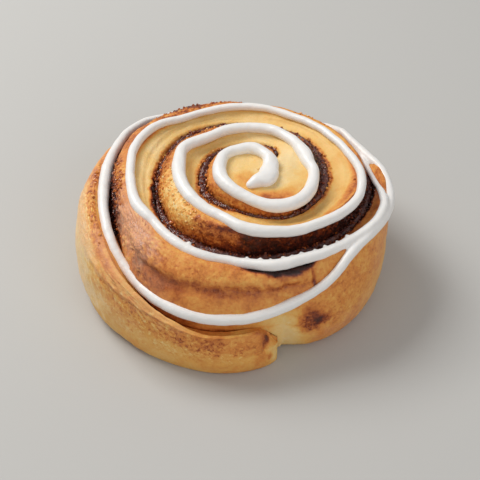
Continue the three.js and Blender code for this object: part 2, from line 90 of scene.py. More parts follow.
# The winding, as in the solids
SPIRAL_CENTRE = (6.69, -0.15)
CORE_RADIUS = 2
CORE_HEIGHT = 43.3
STRIP_START = -60
FIRST_FULL_TURN = STRIP_START + 360
SLIT_START = 21
SLIT_CLOSES = (914, 932)  # turns between which the dough closes over the slit
SEAM = 1002
TAIL_ROUNDING = 1338
TAIL_END = 1359
TAIL_TIP = 1359.5
TAIL_ROUND_LENGTH = TAIL_END + 0.6 - TAIL_ROUNDING
TAIL_DRAW_IN = 0.14
TAIL_SMOOTH = 3  # the last degrees, where the relief fades out
FOOT_SMOOTH = 1.5  # height below which it does

FILLING_START = 48
FILLING_END = 993
FILLING_GAP = 0.3
FILLING_BOTTOM = 1
FILLING_CROWN = 0.5
FILLING_DEPTH = {885: 0, 925: 1.5, 993: 1.5}
FILLING_STEP = 0.6
FILLING_POINTS = 9  # across its top
FILLING_ROUNDNESS = 1.5

SIDE_START = 984  # turn from where the foot of the strip is in the open
SIDE_BLEND = 9
SIDE_TOAST_BLEND = 16
BASE_TUCK = {984: 0, 1002: 6, 1012: 5, 1026: 4}
FRONT_WAVE = 1.4

ICING_TALLEST = 2
ICING_LIFT = 0.4
ICING_SAG = 0.15
ICING_TAUT_PASSES = 4
ICING_PROBES = (-0.7, -0.35, 0, 0.35, 0.7)
ICING_STEP = 3.6
ICING_STEP_MOST = 0.3  # in radians
ICING_JOIN = (1150, 1165)
ICING_SWELL = 1.09  # makes up for what smoothing takes off
ICING_FLAT_FOOT = 0.1  # how much wider its lower half is
ICING_SIDES = 18
ICING_FINENESS = 7  # points on the curve for each one worked out
ICING_VOXEL = 0.38
ICING_SOFTENING = (0.5, 4)  # strength, passes
PEAK_INWARD = 1.55
PEAK_UP = 0.9

# Radius of the ragged bits on the icing's upper edge at the front, by turn
ICING_PEAKS = {
    956: 0.8, 986: 0.5, 993: 0.65, 998: 0.5, 1004: 0.7, 1009: 0.5, 1014: 0.7, 1021: 0.6, 1027: 0.65,
    1034: 0.5, 1040: 0.6,
}

# Half the width of the slit between two wraps, by turn, as in the next tables
SLIT_HALF_WIDTH = {
    21: 0, 57: 1, 100: 1.1, 150: 1.4, 215: 1.4, 250: 0.75, 296: 0.65, 325: 1, 350: 1.6, 385: 1.6,
    405: 1.3, 430: 0.8, 455: 0.85, 480: 1.2, 510: 1.1, 540: 0.9, 570: 1.3, 600: 1.4, 690: 1.4,
    850: 1.2, 885: 1, 905: 0.8, 925: 0.7, 1002: 0.7,
}

# Radius of the groove between two wraps
GROOVE_RADIUS = {
    -60: 2, -30: 2.6, 0: 4, 24: 6.5, 45: 10.8, 60: 13.3, 75: 14.5, 95: 14.9, 124: 15.5, 150: 16.3,
    170: 16.2, 190: 16.7, 210: 17.7, 232: 17, 250: 17, 275: 18.9, 300: 21.1, 330: 21.6, 360: 22.9,
    385: 24.4, 405: 26.6, 423: 28.8, 440: 29.1, 452: 30.2, 466: 32, 480: 33, 495: 33.5, 515: 32.2,
    540: 31.4, 575: 32.1, 600: 30.9, 617: 29.4, 640: 29.3, 660: 30.3, 685: 33, 708: 36, 730: 38.6,
    745: 39.2, 760: 39.8, 785: 41.6, 815: 45.2, 845: 48.6, 868: 50.2, 885: 48.6, 905: 46.3,
    922: 46.2, 940: 49, 955: 50, 970: 48.8, 985: 46.2, 1002: 43.4,
}

# Height of the dough at the bottom of that groove
GROOVE_HEIGHT = {
    -60: 43.3, 0: 43.2, 24: 43, 60: 40, 95: 39.4, 180: 39.2, 270: 38, 360: 37.2, 450: 36, 540: 34.4,
    585: 33.2, 630: 30.6, 680: 30.6, 720: 31.2, 752: 31.2, 790: 28, 830: 27.6, 868: 28.6, 900: 28,
    925: 24.5, 945: 19.5, 965: 16, 985: 15.5, 993: 15, 1000: 9.5,
}

# Crest of each wrap: its radius and its height
CREST_RADIUS = {
    -60: 2, 0: 3.2, 40: 5.6, 65: 7.2, 90: 8.6, 150: 10.4, 180: 11.2, 210: 12.4, 240: 14.2,
    270: 17.3, 285: 18.9, 300: 19.9, 320: 20, 340: 19.4, 380: 18.9, 404: 20, 424: 21.5, 450: 22,
    477: 22, 494: 23, 515: 24.6, 540: 24.6, 577: 25.4, 607: 26.4, 630: 27.6, 656: 29, 682: 31.6,
    704: 34, 730: 35, 758: 35.2, 787: 36.2, 811: 38, 835: 40.2, 857: 42.4, 872: 43.2, 900: 40.4,
    931: 37.4, 960: 36.6, 990: 35.2, 1020: 35.6, 1038: 38.4, 1059: 40.4, 1080: 41.6, 1101: 42.2,
    1125: 43.8, 1170: 47.8, 1208: 51.6, 1220: 52.8, 1232: 52.6, 1255: 51.4, 1282: 51.6, 1301: 53,
    1320: 52.6, 1340: 50.6, 1350: 48, 1359: 43.5,
}
CREST_HEIGHT = {
    -60: 43.3, 0: 43.4, 60: 43.9, 90: 44, 180: 43.8, 240: 43, 280: 42.4, 360: 42.2, 450: 42,
    540: 42.2, 600: 41.2, 630: 40.3, 680: 39.8, 720: 39.6, 765: 39.2, 811: 38.8, 857: 38.8,
    900: 38.6, 931: 37.2, 960: 35, 990: 32.6, 1035: 32.4, 1080: 34.2, 1112: 32.8, 1130: 30.6,
    1150: 28.8, 1180: 29.4, 1212: 32.2, 1260: 33, 1290: 29.8, 1305: 26, 1320: 21, 1334: 17.6,
    1346: 17.8, 1351: 17.6, 1355: 14.2, 1359: 8.5,
}

# Height of the lip just outside the inner groove of each wrap
LIP_HEIGHT = {
    -60: 43.3, 384: 42.6, 410: 41, 440: 40.2, 540: 39.6, 630: 38.2, 700: 37.2, 765: 36.8, 811: 36.4,
    857: 36.2, 900: 36.2, 945: 34.6, 975: 32.3, 1000: 31.8, 1035: 31.6, 1060: 32.6, 1080: 32.8,
    1112: 32, 1130: 30, 1150: 28.4, 1175: 28.4, 1215: 30.6, 1260: 31.4, 1290: 26.4, 1305: 20.6,
    1320: 17.2, 1335: 16.4, 1345: 17, 1351: 16.8, 1355: 13.4, 1359: 8,
}

# Widest radius of the side, and the height where it is widest
SIDE_RADIUS = {
    1002: 42.7, 1008: 43.5, 1014: 44.3, 1022: 44.8, 1038: 44.7, 1060: 44.3, 1080: 44.8, 1092: 45,
    1105: 45.4, 1125: 46, 1150: 47.8, 1170: 50.6, 1200: 53.4, 1225: 55.7, 1250: 58.4, 1270: 59.2,
    1290: 58.2, 1305: 56.4, 1320: 54.5, 1335: 53.2, 1345: 52,
}
BULGE_HEIGHT = {
    984: 15.5, 1000: 15, 1008: 13, 1030: 11.5, 1080: 13, 1200: 13, 1290: 12, 1330: 9.5, 1359: 8.5,
}

# Form of the slope outside the crest: 1 is a round shoulder, less is squarer, more falls off sooner
SLOPE_POWER = {
    -60: 1, 390: 1, 425: 1.5, 490: 1.5, 525: 1, 560: 0.85, 600: 0.6, 700: 0.6, 760: 0.8, 800: 0.75,
    825: 0.62, 857: 0.62, 885: 0.8, 930: 0.8, 960: 0.85, 1002: 0.85, 1040: 0.8, 1070: 0.5,
    1100: 0.5, 1120: 0.8, 1200: 0.85, 1260: 0.85, 1300: 0.8, 1359: 0.8,
}
FRONT_SLOPE = {900: 0, 930: 0.35, 960: 0.9, 985: 1, 1035: 1, 1055: 0.3, 1070: 0}

# Radius of the icing's path over the top of the wraps
ICING_OVER_TOP = {
    -98: 9.9, -86: 8.5, -74: 8.1, -62: 7.9, -50: 6.9, -38: 6, -20: 5.5, 0: 5.4, 40: 5.7, 58: 6,
    76: 6.7, 88: 7.2, 112: 7.9, 130: 8.4, 142: 9.2, 154: 9.9, 172: 10.4, 190: 11.1, 208: 12.1,
    226: 13, 244: 14, 256: 14.9, 268: 16.4, 280: 18.3, 292: 19.8, 304: 20.6, 316: 20.8, 328: 20.5,
    340: 19.8, 358: 18.8, 370: 17.6, 388: 17.7, 400: 18.5, 418: 19.7, 430: 20.6, 448: 21.1,
    466: 21.3, 484: 21.5, 496: 21.8, 502: 22.6, 514: 24.5, 520: 24.8, 532: 24.1, 550: 24, 574: 24.1,
    592: 24, 604: 24.1, 622: 27, 634: 28, 646: 28.7, 658: 29.5, 670: 30.5, 682: 31.9, 694: 33.4,
    706: 34.7, 718: 34.5, 730: 33.8, 742: 33.2, 754: 33.2, 766: 33.7, 778: 34.3, 790: 35, 802: 36.4,
    826: 38.2, 838: 38.9, 850: 40, 856: 41.2, 868: 42.4, 880: 42, 892: 40.4, 904: 39.5, 922: 38.9,
    934: 37.2, 952: 37.2, 964: 36.8, 976: 34.9, 988: 35.3, 1000: 36.7, 1012: 36.3, 1024: 37.2,
    1036: 38.2, 1048: 40.2, 1060: 42.1, 1068: 42.5, 1080: 40.7, 1090: 39.9, 1098: 40.1, 1108: 41,
    1114: 42,
}

# Its path from there on as (turn, radius, height): over the edge, round the side and across
# the front, up again to where it joins itself
ICING_ROUND_SIDE = [
    (1118, 42.6, 33), (1125, 44, 32.6), (1131, 45.4, 31), (1138, 46.8, 28.8), (1150, 48.2, 26.8),
    (1175, 51, 26.4), (1193, 52.8, 27.8), (1201, 52.4, 30.2), (1207, 51.4, 31.7),
    (1211, 52.2, 32.2), (1217, 53.4, 32.4), (1223, 53.4, 32.5), (1231, 52.1, 32.8),
    (1243, 50.4, 32.8), (1253, 49.3, 32), (1263, 48.9, 31.9), (1272, 48.9, 31.4),
    (1280, 49.2, 30.2), (1288, 49.4, 27.8), (1296, 49, 24.6), (1305, 49.3, 23.6),
    (1314, 49.8, 23.2), (1323, 49.6, 22.5), (1330, 48.8, 21.7), (1346, 46.2, 21.3),
    (1352, 45.2, 21.7), (1360, 43.7, 22.4), (1372, 42.7, 24.4), (1382, 42.7, 27.5),
    (1388, 42.3, 29.8), (1392, 41.8, 31.2), (1400, 41.2, 32.6), (1412, 41.9, 33),
    (1424, 43.4, 32.7), (1433, 44.1, 32.2), (1442, 44.2, 32.3), (1450, 44.2, 32.5),
    (1458, 43.4, 33), (1466, 42.1, 33.3), (1474, 42.2, 33), (1480, 43, 32.9), (1486, 44.1, 32.8),
]
ICING_SIDE_RADIUS = {turn: radius for turn, radius, _ in ICING_ROUND_SIDE}
ICING_SIDE_HEIGHT = {turn: height for turn, _, height in ICING_ROUND_SIDE}

# Radius of the rope of icing along its path
ICING_THICKNESS = {
    -98: 1.3, -86: 2, -74: 2.6, -62: 3, -38: 3.05, -20: 2.6, 10: 2.3, 34: 1.85, 60: 1.7, 88: 1.85,
    142: 1.65, 190: 2, 225: 2.05, 262: 1.68, 305: 1.95, 325: 1.95, 350: 1.68, 362: 1.75, 376: 2.2,
    388: 2.1, 402: 1.72, 450: 1.6, 508: 1.7, 544: 2.05, 574: 1.9, 600: 1.6, 630: 1.75, 660: 1.55,
    700: 1.42, 724: 1.3, 770: 1.18, 850: 1.2, 870: 1.36, 905: 1.45, 922: 1.75, 934: 1.45, 955: 1.53,
    975: 1.35, 1008: 1.7, 1030: 1.45, 1060: 1.5, 1072: 1.2, 1084: 0.8, 1098: 0.8, 1110: 1.05,
    1125: 1.15, 1150: 1.25, 1214: 1.25, 1235: 1.5, 1250: 1.88, 1265: 1.62, 1286: 1.55, 1310: 1.68,
    1358: 1.72, 1376: 1.35, 1400: 1.45, 1418: 1.6, 1436: 1.6, 1450: 1.3, 1466: 1.3, 1486: 1.1,
}

# Section of a wrap
LIP_WIDTH = 1.6
LIP_SHARE = 0.18  # most of the strip's width that the lip takes
LIP_ACROSS = 0.2  # "across" where the lip ends and the inner slope begins
LIP_CURVE = 2.7
INSIDE_CURVE = 1.5
CREST_NEAR_IN = 0.3  # the crest stays this share of the width off the inner edge
CREST_NEAR_OUT = 0.15
WAVE_LENGTH = 0.9
TUCK_SHARE = 0.5
TUCK_CURVE = 0.9

# Browning along the strip, from 0, cream, to 1, nearly black: on the inner slope, on the crest,
# on the outer slope and on the lower part of the side
TOAST_INSIDE = {
    -60: 0.12, 200: 0.12, 300: 0.08, 360: 0.04, 430: 0.08, 480: 0.12, 530: 0.16, 590: 0.2,
    640: 0.22, 680: 0.2, 740: 0.2, 790: 0.14, 840: 0.14, 890: 0.1, 930: 0.16, 1000: 0.32,
    1060: 0.55, 1090: 0.5, 1110: 0.3, 1359: 0.4,
}
TOAST_CREST = {
    -60: 0.15, 60: 0.32, 150: 0.15, 250: 0.25, 285: 0.4, 325: 0.2, 380: 0.2, 450: 0.2, 520: 0.3,
    570: 0.35, 640: 0.38, 688: 0.32, 725: 0.46, 760: 0.3, 820: 0.35, 860: 0.45, 900: 0.45, 940: 0.4,
    1000: 0.45, 1080: 0.5, 1250: 0.4, 1300: 0.44, 1359: 0.47,
}
TOAST_SLOPE = {
    -60: 0.1, 60: 0.42, 90: 0.3, 150: 0.4, 200: 0.4, 240: 0.42, 290: 0.52, 330: 0.62, 365: 0.76,
    390: 0.66, 412: 0.42, 450: 0.32, 500: 0.38, 540: 0.46, 575: 0.37, 592: 0.42, 604: 0.66,
    625: 0.82, 680: 0.78, 710: 0.74, 730: 0.5, 780: 0.42, 820: 0.52, 850: 0.54, 875: 0.52,
    890: 0.46, 912: 0.46, 930: 0.36, 950: 0.5, 972: 0.46, 1000: 0.42, 1060: 0.47, 1110: 0.42,
    1200: 0.28, 1245: 0.36, 1270: 0.36, 1285: 0.38, 1320: 0.44, 1350: 0.5,
}
TOAST_LOW = {
    984: 0.2, 1004: 0.16, 1009: 0.2, 1020: 0.42, 1040: 0.42, 1065: 0.36, 1150: 0.32, 1250: 0.2,
    1290: 0.27, 1330: 0.3, 1350: 0.4, 1359: 0.3,
}

# How thickly cinnamon and dark sugar stick to the outer slope, from where across the strip,
# and how thickly to the lip on the other side of the groove
GRAIN_SLOPE = {
    30: 0.2, 60: 0.35, 90: 0.3, 140: 0.5, 200: 0.6, 235: 0.3, 290: 0.25, 330: 0.6, 360: 1, 398: 1,
    412: 0.6, 440: 0.4, 490: 0.7, 540: 0.6, 580: 0.45, 600: 0.3, 640: 0.35, 680: 0.6, 715: 0.9,
    730: 0.5, 790: 0.35, 830: 0.5, 855: 0.6, 872: 0.2, 888: 0.8, 912: 0.8, 926: 0.2, 950: 0.1,
    984: 0,
}
GRAIN_START = {
    30: 1.3, 90: 1.6, 200: 1.6, 240: 1.5, 330: 1.4, 360: 1.2, 398: 1.2, 430: 1.6, 490: 1.35,
    540: 1.5, 580: 1.7, 610: 1.75, 680: 1.7, 715: 1.4, 740: 1.7, 800: 1.5, 835: 1.15, 860: 1.4,
    888: 1.55, 912: 1.5, 984: 1.8,
}
GRAIN_LIP = {
    384: 0.1, 405: 0.5, 430: 0.1, 475: 0.1, 500: 0.5, 540: 0.6, 590: 0.6, 620: 0.2, 660: 0.1,
    690: 0.4, 725: 0.6, 755: 0.5, 785: 0.05, 812: 0.1, 845: 0.2, 870: 0.5, 885: 0.7, 905: 1,
    920: 0.9, 950: 0.6, 1000: 0.5, 1080: 0.8, 1110: 0.5, 1220: 0.5, 1270: 0.6, 1284: 0, 1359: 0,
}

# How much browner the sugar on the lip and on the slope makes the dough
LIP_SHADE = 0.5
SUGAR_SHADE = 0.2

# Places across the strip between which the browning goes over from one table to the next, and
# where the sugar on the lip ends
INSIDE_TO_CREST = (0.62, 0.95)
CREST_TO_SLOPE = (1.05, 1.4)
SLOPE_TO_LOW = (1.6, 2.05)
LIP_SUGAR_ENDS = (0.03, 0.19)
SUGAR_STARTS = (-0.15, 0.2)  # the same for the sugar on the slope, counted from its start
SUGAR_FADES = 8  # degrees before SIDE_START over which it ends

# Noises as (height or strength, size in mm, octaves, seed)
LUMPS = [(0.32, 13, 2, 0), (0.2, 4.2, 2, 3.1), (0.05, 1.4, 1, 1.9)]
SUGAR_LUMPS = (0.5, 1.7, 1, 7.7)
SUGAR_GRAINS = (0.3, 1, 1, 2.2)
CARAMEL_LUMPS = (0.4, 2.4, 2, 8.3)
CARAMEL_TOAST = (0.5, 0.75)  # browning between which the caramel begins
CRUST_PITS = (0.12, 1.2, 2, 6.1)
UNEVEN_BROWNING = (0.06, 7, 2, 2.7)
RAGGED = (1, 2.6, 3, 5.5)
CREASES = (1, 1, 2, 4.6)
ICING_THICKENING = (0.05, 7, 2, 1.3)
ICING_SURFACE = (0.12, 3.5, 2, 4.4)
FILLING_GRAINS = (0.8, 1.9, 1, 6.6)
FILLING_LUMPS = (0.45, 3.8, 1, 9.1)
RAGGED_ACROSS = 0.05  # how ragged the bounds between colours are
RAGGED_PATCH = 0.35
RAGGED_FOLD = 0.025
PATCH_SOFTNESS = 0.45
PITS_EVERYWHERE = 0.3  # share of the pits' depth where no sugar sticks
FOLD_ENDS = 7  # degrees over which a fold fades out

# Patches, all as (turn, across, length in degrees, width in "across", strength). First the
# browner ones, and the paler ones below 0
BROWN_SPOTS = [
    (72, 1.25, 10, 0.12, 0.4),  # slit where the spiral opens
    (64, 1.55, 12, 0.2, 0.14),
    (250, 0.5, 34, 0.35, 0.2),  # beside the icing's first blob
    (298, 0.92, 26, 0.2, 0.18), (866, 0.92, 20, 0.2, 0.2), (718, 0.85, 34, 0.16, 0.16),
    (560, 1.45, 28, 0.34, -0.24),  # golden shoulder
    (604, 1.85, 14, 0.2, 0.14), (930, 1.42, 16, 0.25, 0.2),
    (612, 1.75, 12, 0.25, -0.18),  # amber places in the caramel
    (640, 1.4, 9, 0.14, -0.12), (662, 1.55, 7, 0.12, -0.14), (684, 1.35, 8, 0.14, -0.1),
    (966, 1.3, 38, 0.1, -0.05),  # golden ridge on the front slope
    (1272, 1.5, 18, 0.24, -0.25),
    (916, 0.08, 24, 0.16, 0.4),  # dark lip beside the wide groove at the left
    (985, 1.8, 16, 0.12, -0.06), (968, 1.98, 34, 0.05, 0.16),
    (1016.5, 1.42, 0.8, 0.14, 0.24),  # crack
    (1004, 1.95, 6, 0.42, -0.07),  # cream dough at the seam
    (1013.5, 1.93, 5.6, 0.18, 0.34),  # cinnamon left where the tail lay
    (1019, 1.9, 4, 0.1, 0.2),
    (1062, 1.9, 22, 0.8, -0.06),  # paler right side
    (1262, 1.15, 30, 0.14, 0.08),  # crust beside the icing
    (1290, 1.3, 12, 0.1, 0.16),
    (1264, 1.9, 30, 0.36, -0.3),  # pale left edge: paler dough, partly a painted highlight
    (900, 1.8, 22, 0.3, 0.2),
    (1315, 1.2, 30, 0.24, -0.15),  # paler valley above the tail's fold: painted light against the icing's shadow
    (1354.8, 1.44, 1, 0.16, 0.26),  # slit at the tail
    (1353.6, 1.68, 0.7, 0.16, 0.16),
    (1357.5, 1.8, 2.4, 0.8, -0.16),  # its pale end
    (1357, 1.12, 3, 0.14, -0.1), (1356, 2.2, 0.8, 0.1, 0.3),
]

# Patches with dark sugar
GRAIN_SPOTS = [
    (66, 1.5, 12, 0.3, 0.35), (835, 1.25, 20, 0.3, 0.45), (775, 1.25, 16, 0.15, 0.5),
    (899, 1.45, 14, 0.2, 0.55), (548, 1.5, 26, 0.4, 0.6), (582, 1.45, 22, 0.35, 0.55),
    (1014, 1.95, 4, 0.14, 0.3), (1266, 1.16, 28, 0.16, 0.3), (725, 0.9, 24, 0.1, 0.25),
]

# Speckled patches
FRECKLED = [
    (1318, 1.75, 34, 0.42, 1), (1266, 1.3, 20, 0.3, 0.9), (962, 1.3, 34, 0.14, 0.5),
    (650, 1.5, 60, 0.4, 0.9), (985, 1.3, 20, 0.2, 0.4), (900, 1.4, 16, 0.3, 0.8),
    (565, 1.5, 34, 0.5, 1), (605, 1.5, 24, 0.5, 0.8), (840, 1.3, 30, 0.3, 1),
    (1060, 1.7, 60, 0.7, 0.45), (1030, 1.5, 20, 0.5, 0.3), (485, 1.4, 40, 0.4, 0.8),
    (220, 1.6, 70, 0.35, 0.7),
]

# Pink patches
BLUSHED = [
    (928, 1.4, 17, 0.32, 1), (1306, 1.25, 20, 0.3, 0.5), (1264, 1.95, 30, 0.3, 0.5),
    (1064, 1.8, 16, 0.6, 0.3), (1296, 1.2, 18, 0.3, 0.5), (1266, 1.45, 26, 0.16, 0.9),
    (1240, 1.6, 30, 0.4, 0.7), (1285, 1.9, 22, 0.3, 0.35), (915, 1.25, 12, 0.16, 0.4),
    (1060, 2.3, 40, 0.4, 0.4), (1310, 1.45, 14, 0.12, 0.3), (938, 1.7, 18, 0.3, 0.35),
]

# Patches where the crust has dried and creased, how deep the creases are, and how much painted shade
# darkens the creases, with painted light on the ridges between
WRINKLED = [
    (930, 1.42, 18, 0.34, 1), (1305, 1.5, 22, 0.2, 0.5), (1268, 1.3, 16, 0.25, 0.6),
    (500, 0.5, 40, 0.35, 0.12), (880, 0.4, 30, 0.3, 0.1), (355, 0.6, 40, 0.35, 0.12),
]
WRINKLE_DEPTH = 1.2
WRINKLE_SHADE = 0.75
WRINKLE_SINK = 0.12  # how far the creased patch sinks on the whole
WRINKLE_MIDDLE = 0.22  # value of the pattern where the painted shade neither darkens nor lightens
WRINKLE_SIZES = (4.5, 1 / 8, 5)  # along the strip in mm, in "across", and upwards in mm

# Dents, where the last number is the depth in mm
DENTS = [
    (1017, 1.42, 1.6, 0.1, 0.7), (1354.5, 1.75, 1.2, 0.25, 0.4), (640, 1.75, 5, 0.2, 0.35),
    (668, 1.7, 5, 0.2, 0.35),
]

# Folds as a path, which is "across" by turn, their width in "across" on the inner and on the
# outer side of the path, and their height
FRONT_FOLD = {930: 1.45, 951: 1.43, 970: 1.38, 986: 1.37, 1000: 1.4, 1016: 1.36}
TAIL_FOLD = {1284: 1.5, 1296: 1.5, 1313: 1.43, 1331: 1.33, 1350: 1.3}
RIDGES = [
    (FRONT_FOLD, 0.12, 0.03, 1),
    ({turn: across + 0.08 for turn, across in FRONT_FOLD.items()}, 0.03, 0.08, -0.7),
    ({935: 1.72, 965: 1.72, 1000: 1.66}, 0.07, 0.07, 0.5),
    ({986: 1.17, 996: 1.21, 1006: 1.25, 1014: 1.22, 1022: 1.13}, 0.12, 0.05, -1.4),
    (TAIL_FOLD, 0.05, 0.022, 0.45),
    ({1286: 1.58, 1298: 1.57, 1315: 1.49, 1333: 1.39, 1348: 1.36}, 0.03, 0.06, -0.2),
    ({690: 0.5, 725: 0.52, 760: 0.5, 800: 0.55}, 0.07, 0.07, 0.35),
    ({695: 0.74, 730: 0.76, 775: 0.74}, 0.06, 0.06, 0.25),
    ({835: 0.55, 870: 0.5, 915: 0.48}, 0.08, 0.08, 0.35),
    ({820: 0.3, 860: 0.26, 900: 0.25}, 0.05, 0.05, 0.2),
    ({480: 0.55, 520: 0.5, 560: 0.5}, 0.07, 0.07, 0.25),
    ({330: 0.5, 360: 0.55, 395: 0.6}, 0.08, 0.08, 0.2),
    ({1010.5: 1.3, 1013: 1.5, 1014.5: 1.7}, 0.02, 0.02, 0.2),
]

# Folds beside which the dough is painted darker, in the same way, with an amount: painted shade in the
# hollows beside them
BROWN_AND_SHADED_FOLDS = [
    # painted shade in the hollow below the front slope's fold, partly browner dough
    ({turn: across + 0.05 for turn, across in FRONT_FOLD.items()}, 0.02, 0.11, 0.17),
    # painted shadow in the gap under the icing at the front, with some cinnamon in it
    ({986: 1.2, 996: 1.26, 1006: 1.31, 1014: 1.27, 1022: 1.17}, 0.22, 0.035, 0.75),
    # painted shade below the tail's crease
    (TAIL_FOLD, 0.03, 0.05, 0.06),
]

# Fineness of the dough's mesh
RING_STEP = 0.56
JOINED_RINGS = 32  # where two wraps share an edge
JOINED_STEP = (SLIT_START - STRIP_START) / JOINED_RINGS
LIP_STEPS = 4
INSIDE_STEPS = 16
OUTSIDE_STEPS = 20
FRONT_START = 880  # turn from where the mesh is finer, for the front slope's folds
FRONT_STEPS = 54
WALL_STEPS = 26


def unit(rows):
    return rows / np.linalg.norm(rows, axis=-1, keepdims=True)


def smoothstep(low, high, value):
    part = np.clip((value - low) / (high - low), 0, 1)
    return part * part * (3 - 2 * part)


def along(table, turn):
    """Value of a table by turn, on a curve that never overshoots its points."""
    places, values = np.array(list(table.items()), float).T
    spans = np.diff(places)
    rises = np.diff(values) / spans
    before, after = rises[:-1], rises[1:]
    mean = (before * spans[1:] + after * spans[:-1]) / (spans[:-1] + spans[1:])
    size = np.minimum(np.abs(mean), 3 * np.minimum(np.abs(before), np.abs(after)))
    inner = np.where(before * after > 0, np.sign(before) * size, 0)
    tangents = np.concatenate([rises[:1], inner, rises[-1:]])
    turn = np.clip(turn, places[0], places[-1])
    i = np.clip(np.searchsorted(places, turn, side="right") - 1, 0, len(places) - 2)
    h = spans[i]
    s = (turn - places[i]) / h
    bend = (1 - s) * tangents[i] - s * tangents[i + 1]
    return values[i] + (values[i + 1] - values[i]) * s * s * (3 - 2 * s) + h * s * (1 - s) * bend


def groove_radius(turn):
    return along(GROOVE_RADIUS, turn)


def open_half_width(turn):
    """Half the width of the slit as it shows: at the front the dough has closed over it."""
    return along(SLIT_HALF_WIDTH, turn) * (1 - smoothstep(*SLIT_CLOSES, turn))


def inner_edge(turn):
    """Inner edge of the strip: the eye of the spiral, then the groove one wrap further in."""
    wrapped = groove_radius(turn - 360) + open_half_width(turn - 360)
    return np.where(turn < FIRST_FULL_TURN, CORE_RADIUS, wrapped)


def outer_edge(turn):
    """Outer edge of the strip: the next groove, then the side of the roll, rounded at the tail."""
    grooved = groove_radius(turn) - open_half_width(turn)
    side = along(SIDE_RADIUS, np.minimum(turn, TAIL_ROUNDING))
    beyond = np.maximum(turn - TAIL_ROUNDING, 0)
    past = np.clip(beyond / TAIL_ROUND_LENGTH, 0, 1)
    inner = inner_edge(turn)
    rounded = inner + (side - TAIL_DRAW_IN * beyond - inner) * np.sqrt(1 - past ** 2)
    return np.where(turn <= SEAM, grooved, rounded)


def section_places(outside_steps, wall_steps):
    """The values of "across" at which a section of the strip has its points."""
    lip = np.linspace(0, LIP_ACROSS, LIP_STEPS, endpoint=False)
    inside = np.linspace(LIP_ACROSS, 1, INSIDE_STEPS + 1)
    outside = np.linspace(1, 2, outside_steps + 1)[1:]
    wall = np.linspace(2, 3, wall_steps + 1)[1:]
    return np.concatenate([lip, inside, outside, wall])


def section(turn, across):
    """Radius and height of the strip's surface at a turn and a place across it."""
    turn, across = np.broadcast_arrays(np.asarray(turn, float), np.asarray(across, float))
    inner = inner_edge(turn)
    outer = outer_edge(turn)
    width = outer - inner
    inner_height = along(GROOVE_HEIGHT, turn - 360)
    in_side = smoothstep(SIDE_START, SIDE_START + SIDE_BLEND, turn)
    outer_height = ((1 - in_side) * along(GROOVE_HEIGHT, turn)
                    + in_side * along(BULGE_HEIGHT, turn))
    crest_height = along(CREST_HEIGHT, turn)
    lip_height = np.where(turn < FIRST_FULL_TURN, inner_height, along(LIP_HEIGHT, turn))
    crest = np.clip(along(CREST_RADIUS, turn),
                    inner + CREST_NEAR_IN * width, outer - CREST_NEAR_OUT * width)
    lip_width = np.minimum(LIP_WIDTH, LIP_SHARE * width)

    part = np.clip(across / LIP_ACROSS, 0, 1)
    lip_z = inner_height + (lip_height - inner_height) * (1 - (1 - part) ** LIP_CURVE)
    lip_r = inner + part * lip_width

    part = np.clip((across - LIP_ACROSS) / (1 - LIP_ACROSS), 0, 1)
    inside_z = lip_height + (crest_height - lip_height) * part ** INSIDE_CURVE
    inside_r = inner + lip_width + part * (crest - inner - lip_width)

    angle = math.pi / 2 * smoothstep(1, 2, across)
    power = along(SLOPE_POWER, turn)
    out = np.sin(angle) ** power
    up = np.maximum(np.cos(angle), 0) ** power
    ripple = (FRONT_WAVE * along(FRONT_SLOPE, turn)
              * np.sin(2 * math.pi * out / WAVE_LENGTH) * np.sqrt(np.maximum(1 - out, 0)))
    outside_r = crest + (outer - crest) * out
    outside_z = outer_height + (crest_height - outer_height) * up + ripple

    tuck = np.minimum(along(BASE_TUCK, turn), TUCK_SHARE * width)
    angle = math.pi / 2 * np.clip(across - 2, 0, 1)
    wall_r = outer - tuck * (1 - np.maximum(np.cos(angle), 0) ** TUCK_CURVE)
    wall_z = outer_height * (1 - np.sin(angle) ** TUCK_CURVE)

    zones = [across < LIP_ACROSS, across <= 1, across <= 2]
    radius = np.select(zones, [lip_r, inside_r, outside_r], wall_r)
    height = np.select(zones, [lip_z, inside_z, outside_z], wall_z)
    return radius, height


def place(radius, turn, height):
    """Points in millimetres, one row each."""
    angle = np.radians(turn)
    x = SPIRAL_CENTRE[0] + radius * np.cos(angle)
    y = SPIRAL_CENTRE[1] + radius * np.sin(angle)
    return np.stack(np.broadcast_arrays(x, y, height), axis=-1)


def noises(points, *kinds):
    """Sum of smooth noises, each given as (height, size of its lumps in mm, octaves, seed)."""
    total = 0
    for height, size, octaves, seed in kinds:
        offset = Vector((seed, -seed, 0.5 * seed))
        places = [Vector(p) + offset for p in (points / size).tolist()]
        if octaves == 1:
            values = [noise.noise(p) for p in places]
        else:
            values = [noise.fractal(p, 1.0, 2.0, octaves) for p in places]
        total = total + height * np.array(values)
    return total


def tube_faces(rings, size):
    """Faces of a closed tube, from its number of rings and the number of points in each."""
    faces = [[k * size + i, k * size + j, (k + 1) * size + j, (k + 1) * size + i]
             for k in range(rings - 1) for i in range(size) for j in [(i + 1) % size]]
    faces.append(list(range(size))[::-1])
    faces.append([(rings - 1) * size + i for i in range(size)])
    return faces


def add_object(name, data):
    added = bpy.data.objects.new(name, data)
    bpy.context.collection.objects.link(added)
    return added


def mesh_object(name, points, faces):
    mesh = bpy.data.meshes.new(name)
    mesh.from_pydata((points * MM).tolist(), [], faces)
    mesh.validate()
    mesh.shade_smooth()
    return add_object(name, mesh)


def points_of(piece):
    """The piece's points in millimetres, and the normals at them."""
    points, normals = np.empty((2, 3 * len(piece.data.vertices)))
    piece.data.vertices.foreach_get("co", points)
    piece.data.vertex_normals.foreach_get("vector", normals)
    return points.reshape(-1, 3) / MM, normals.reshape(-1, 3)


def move_points(piece, points):
    piece.data.vertices.foreach_set("co", (points * MM).ravel())
    piece.data.update()


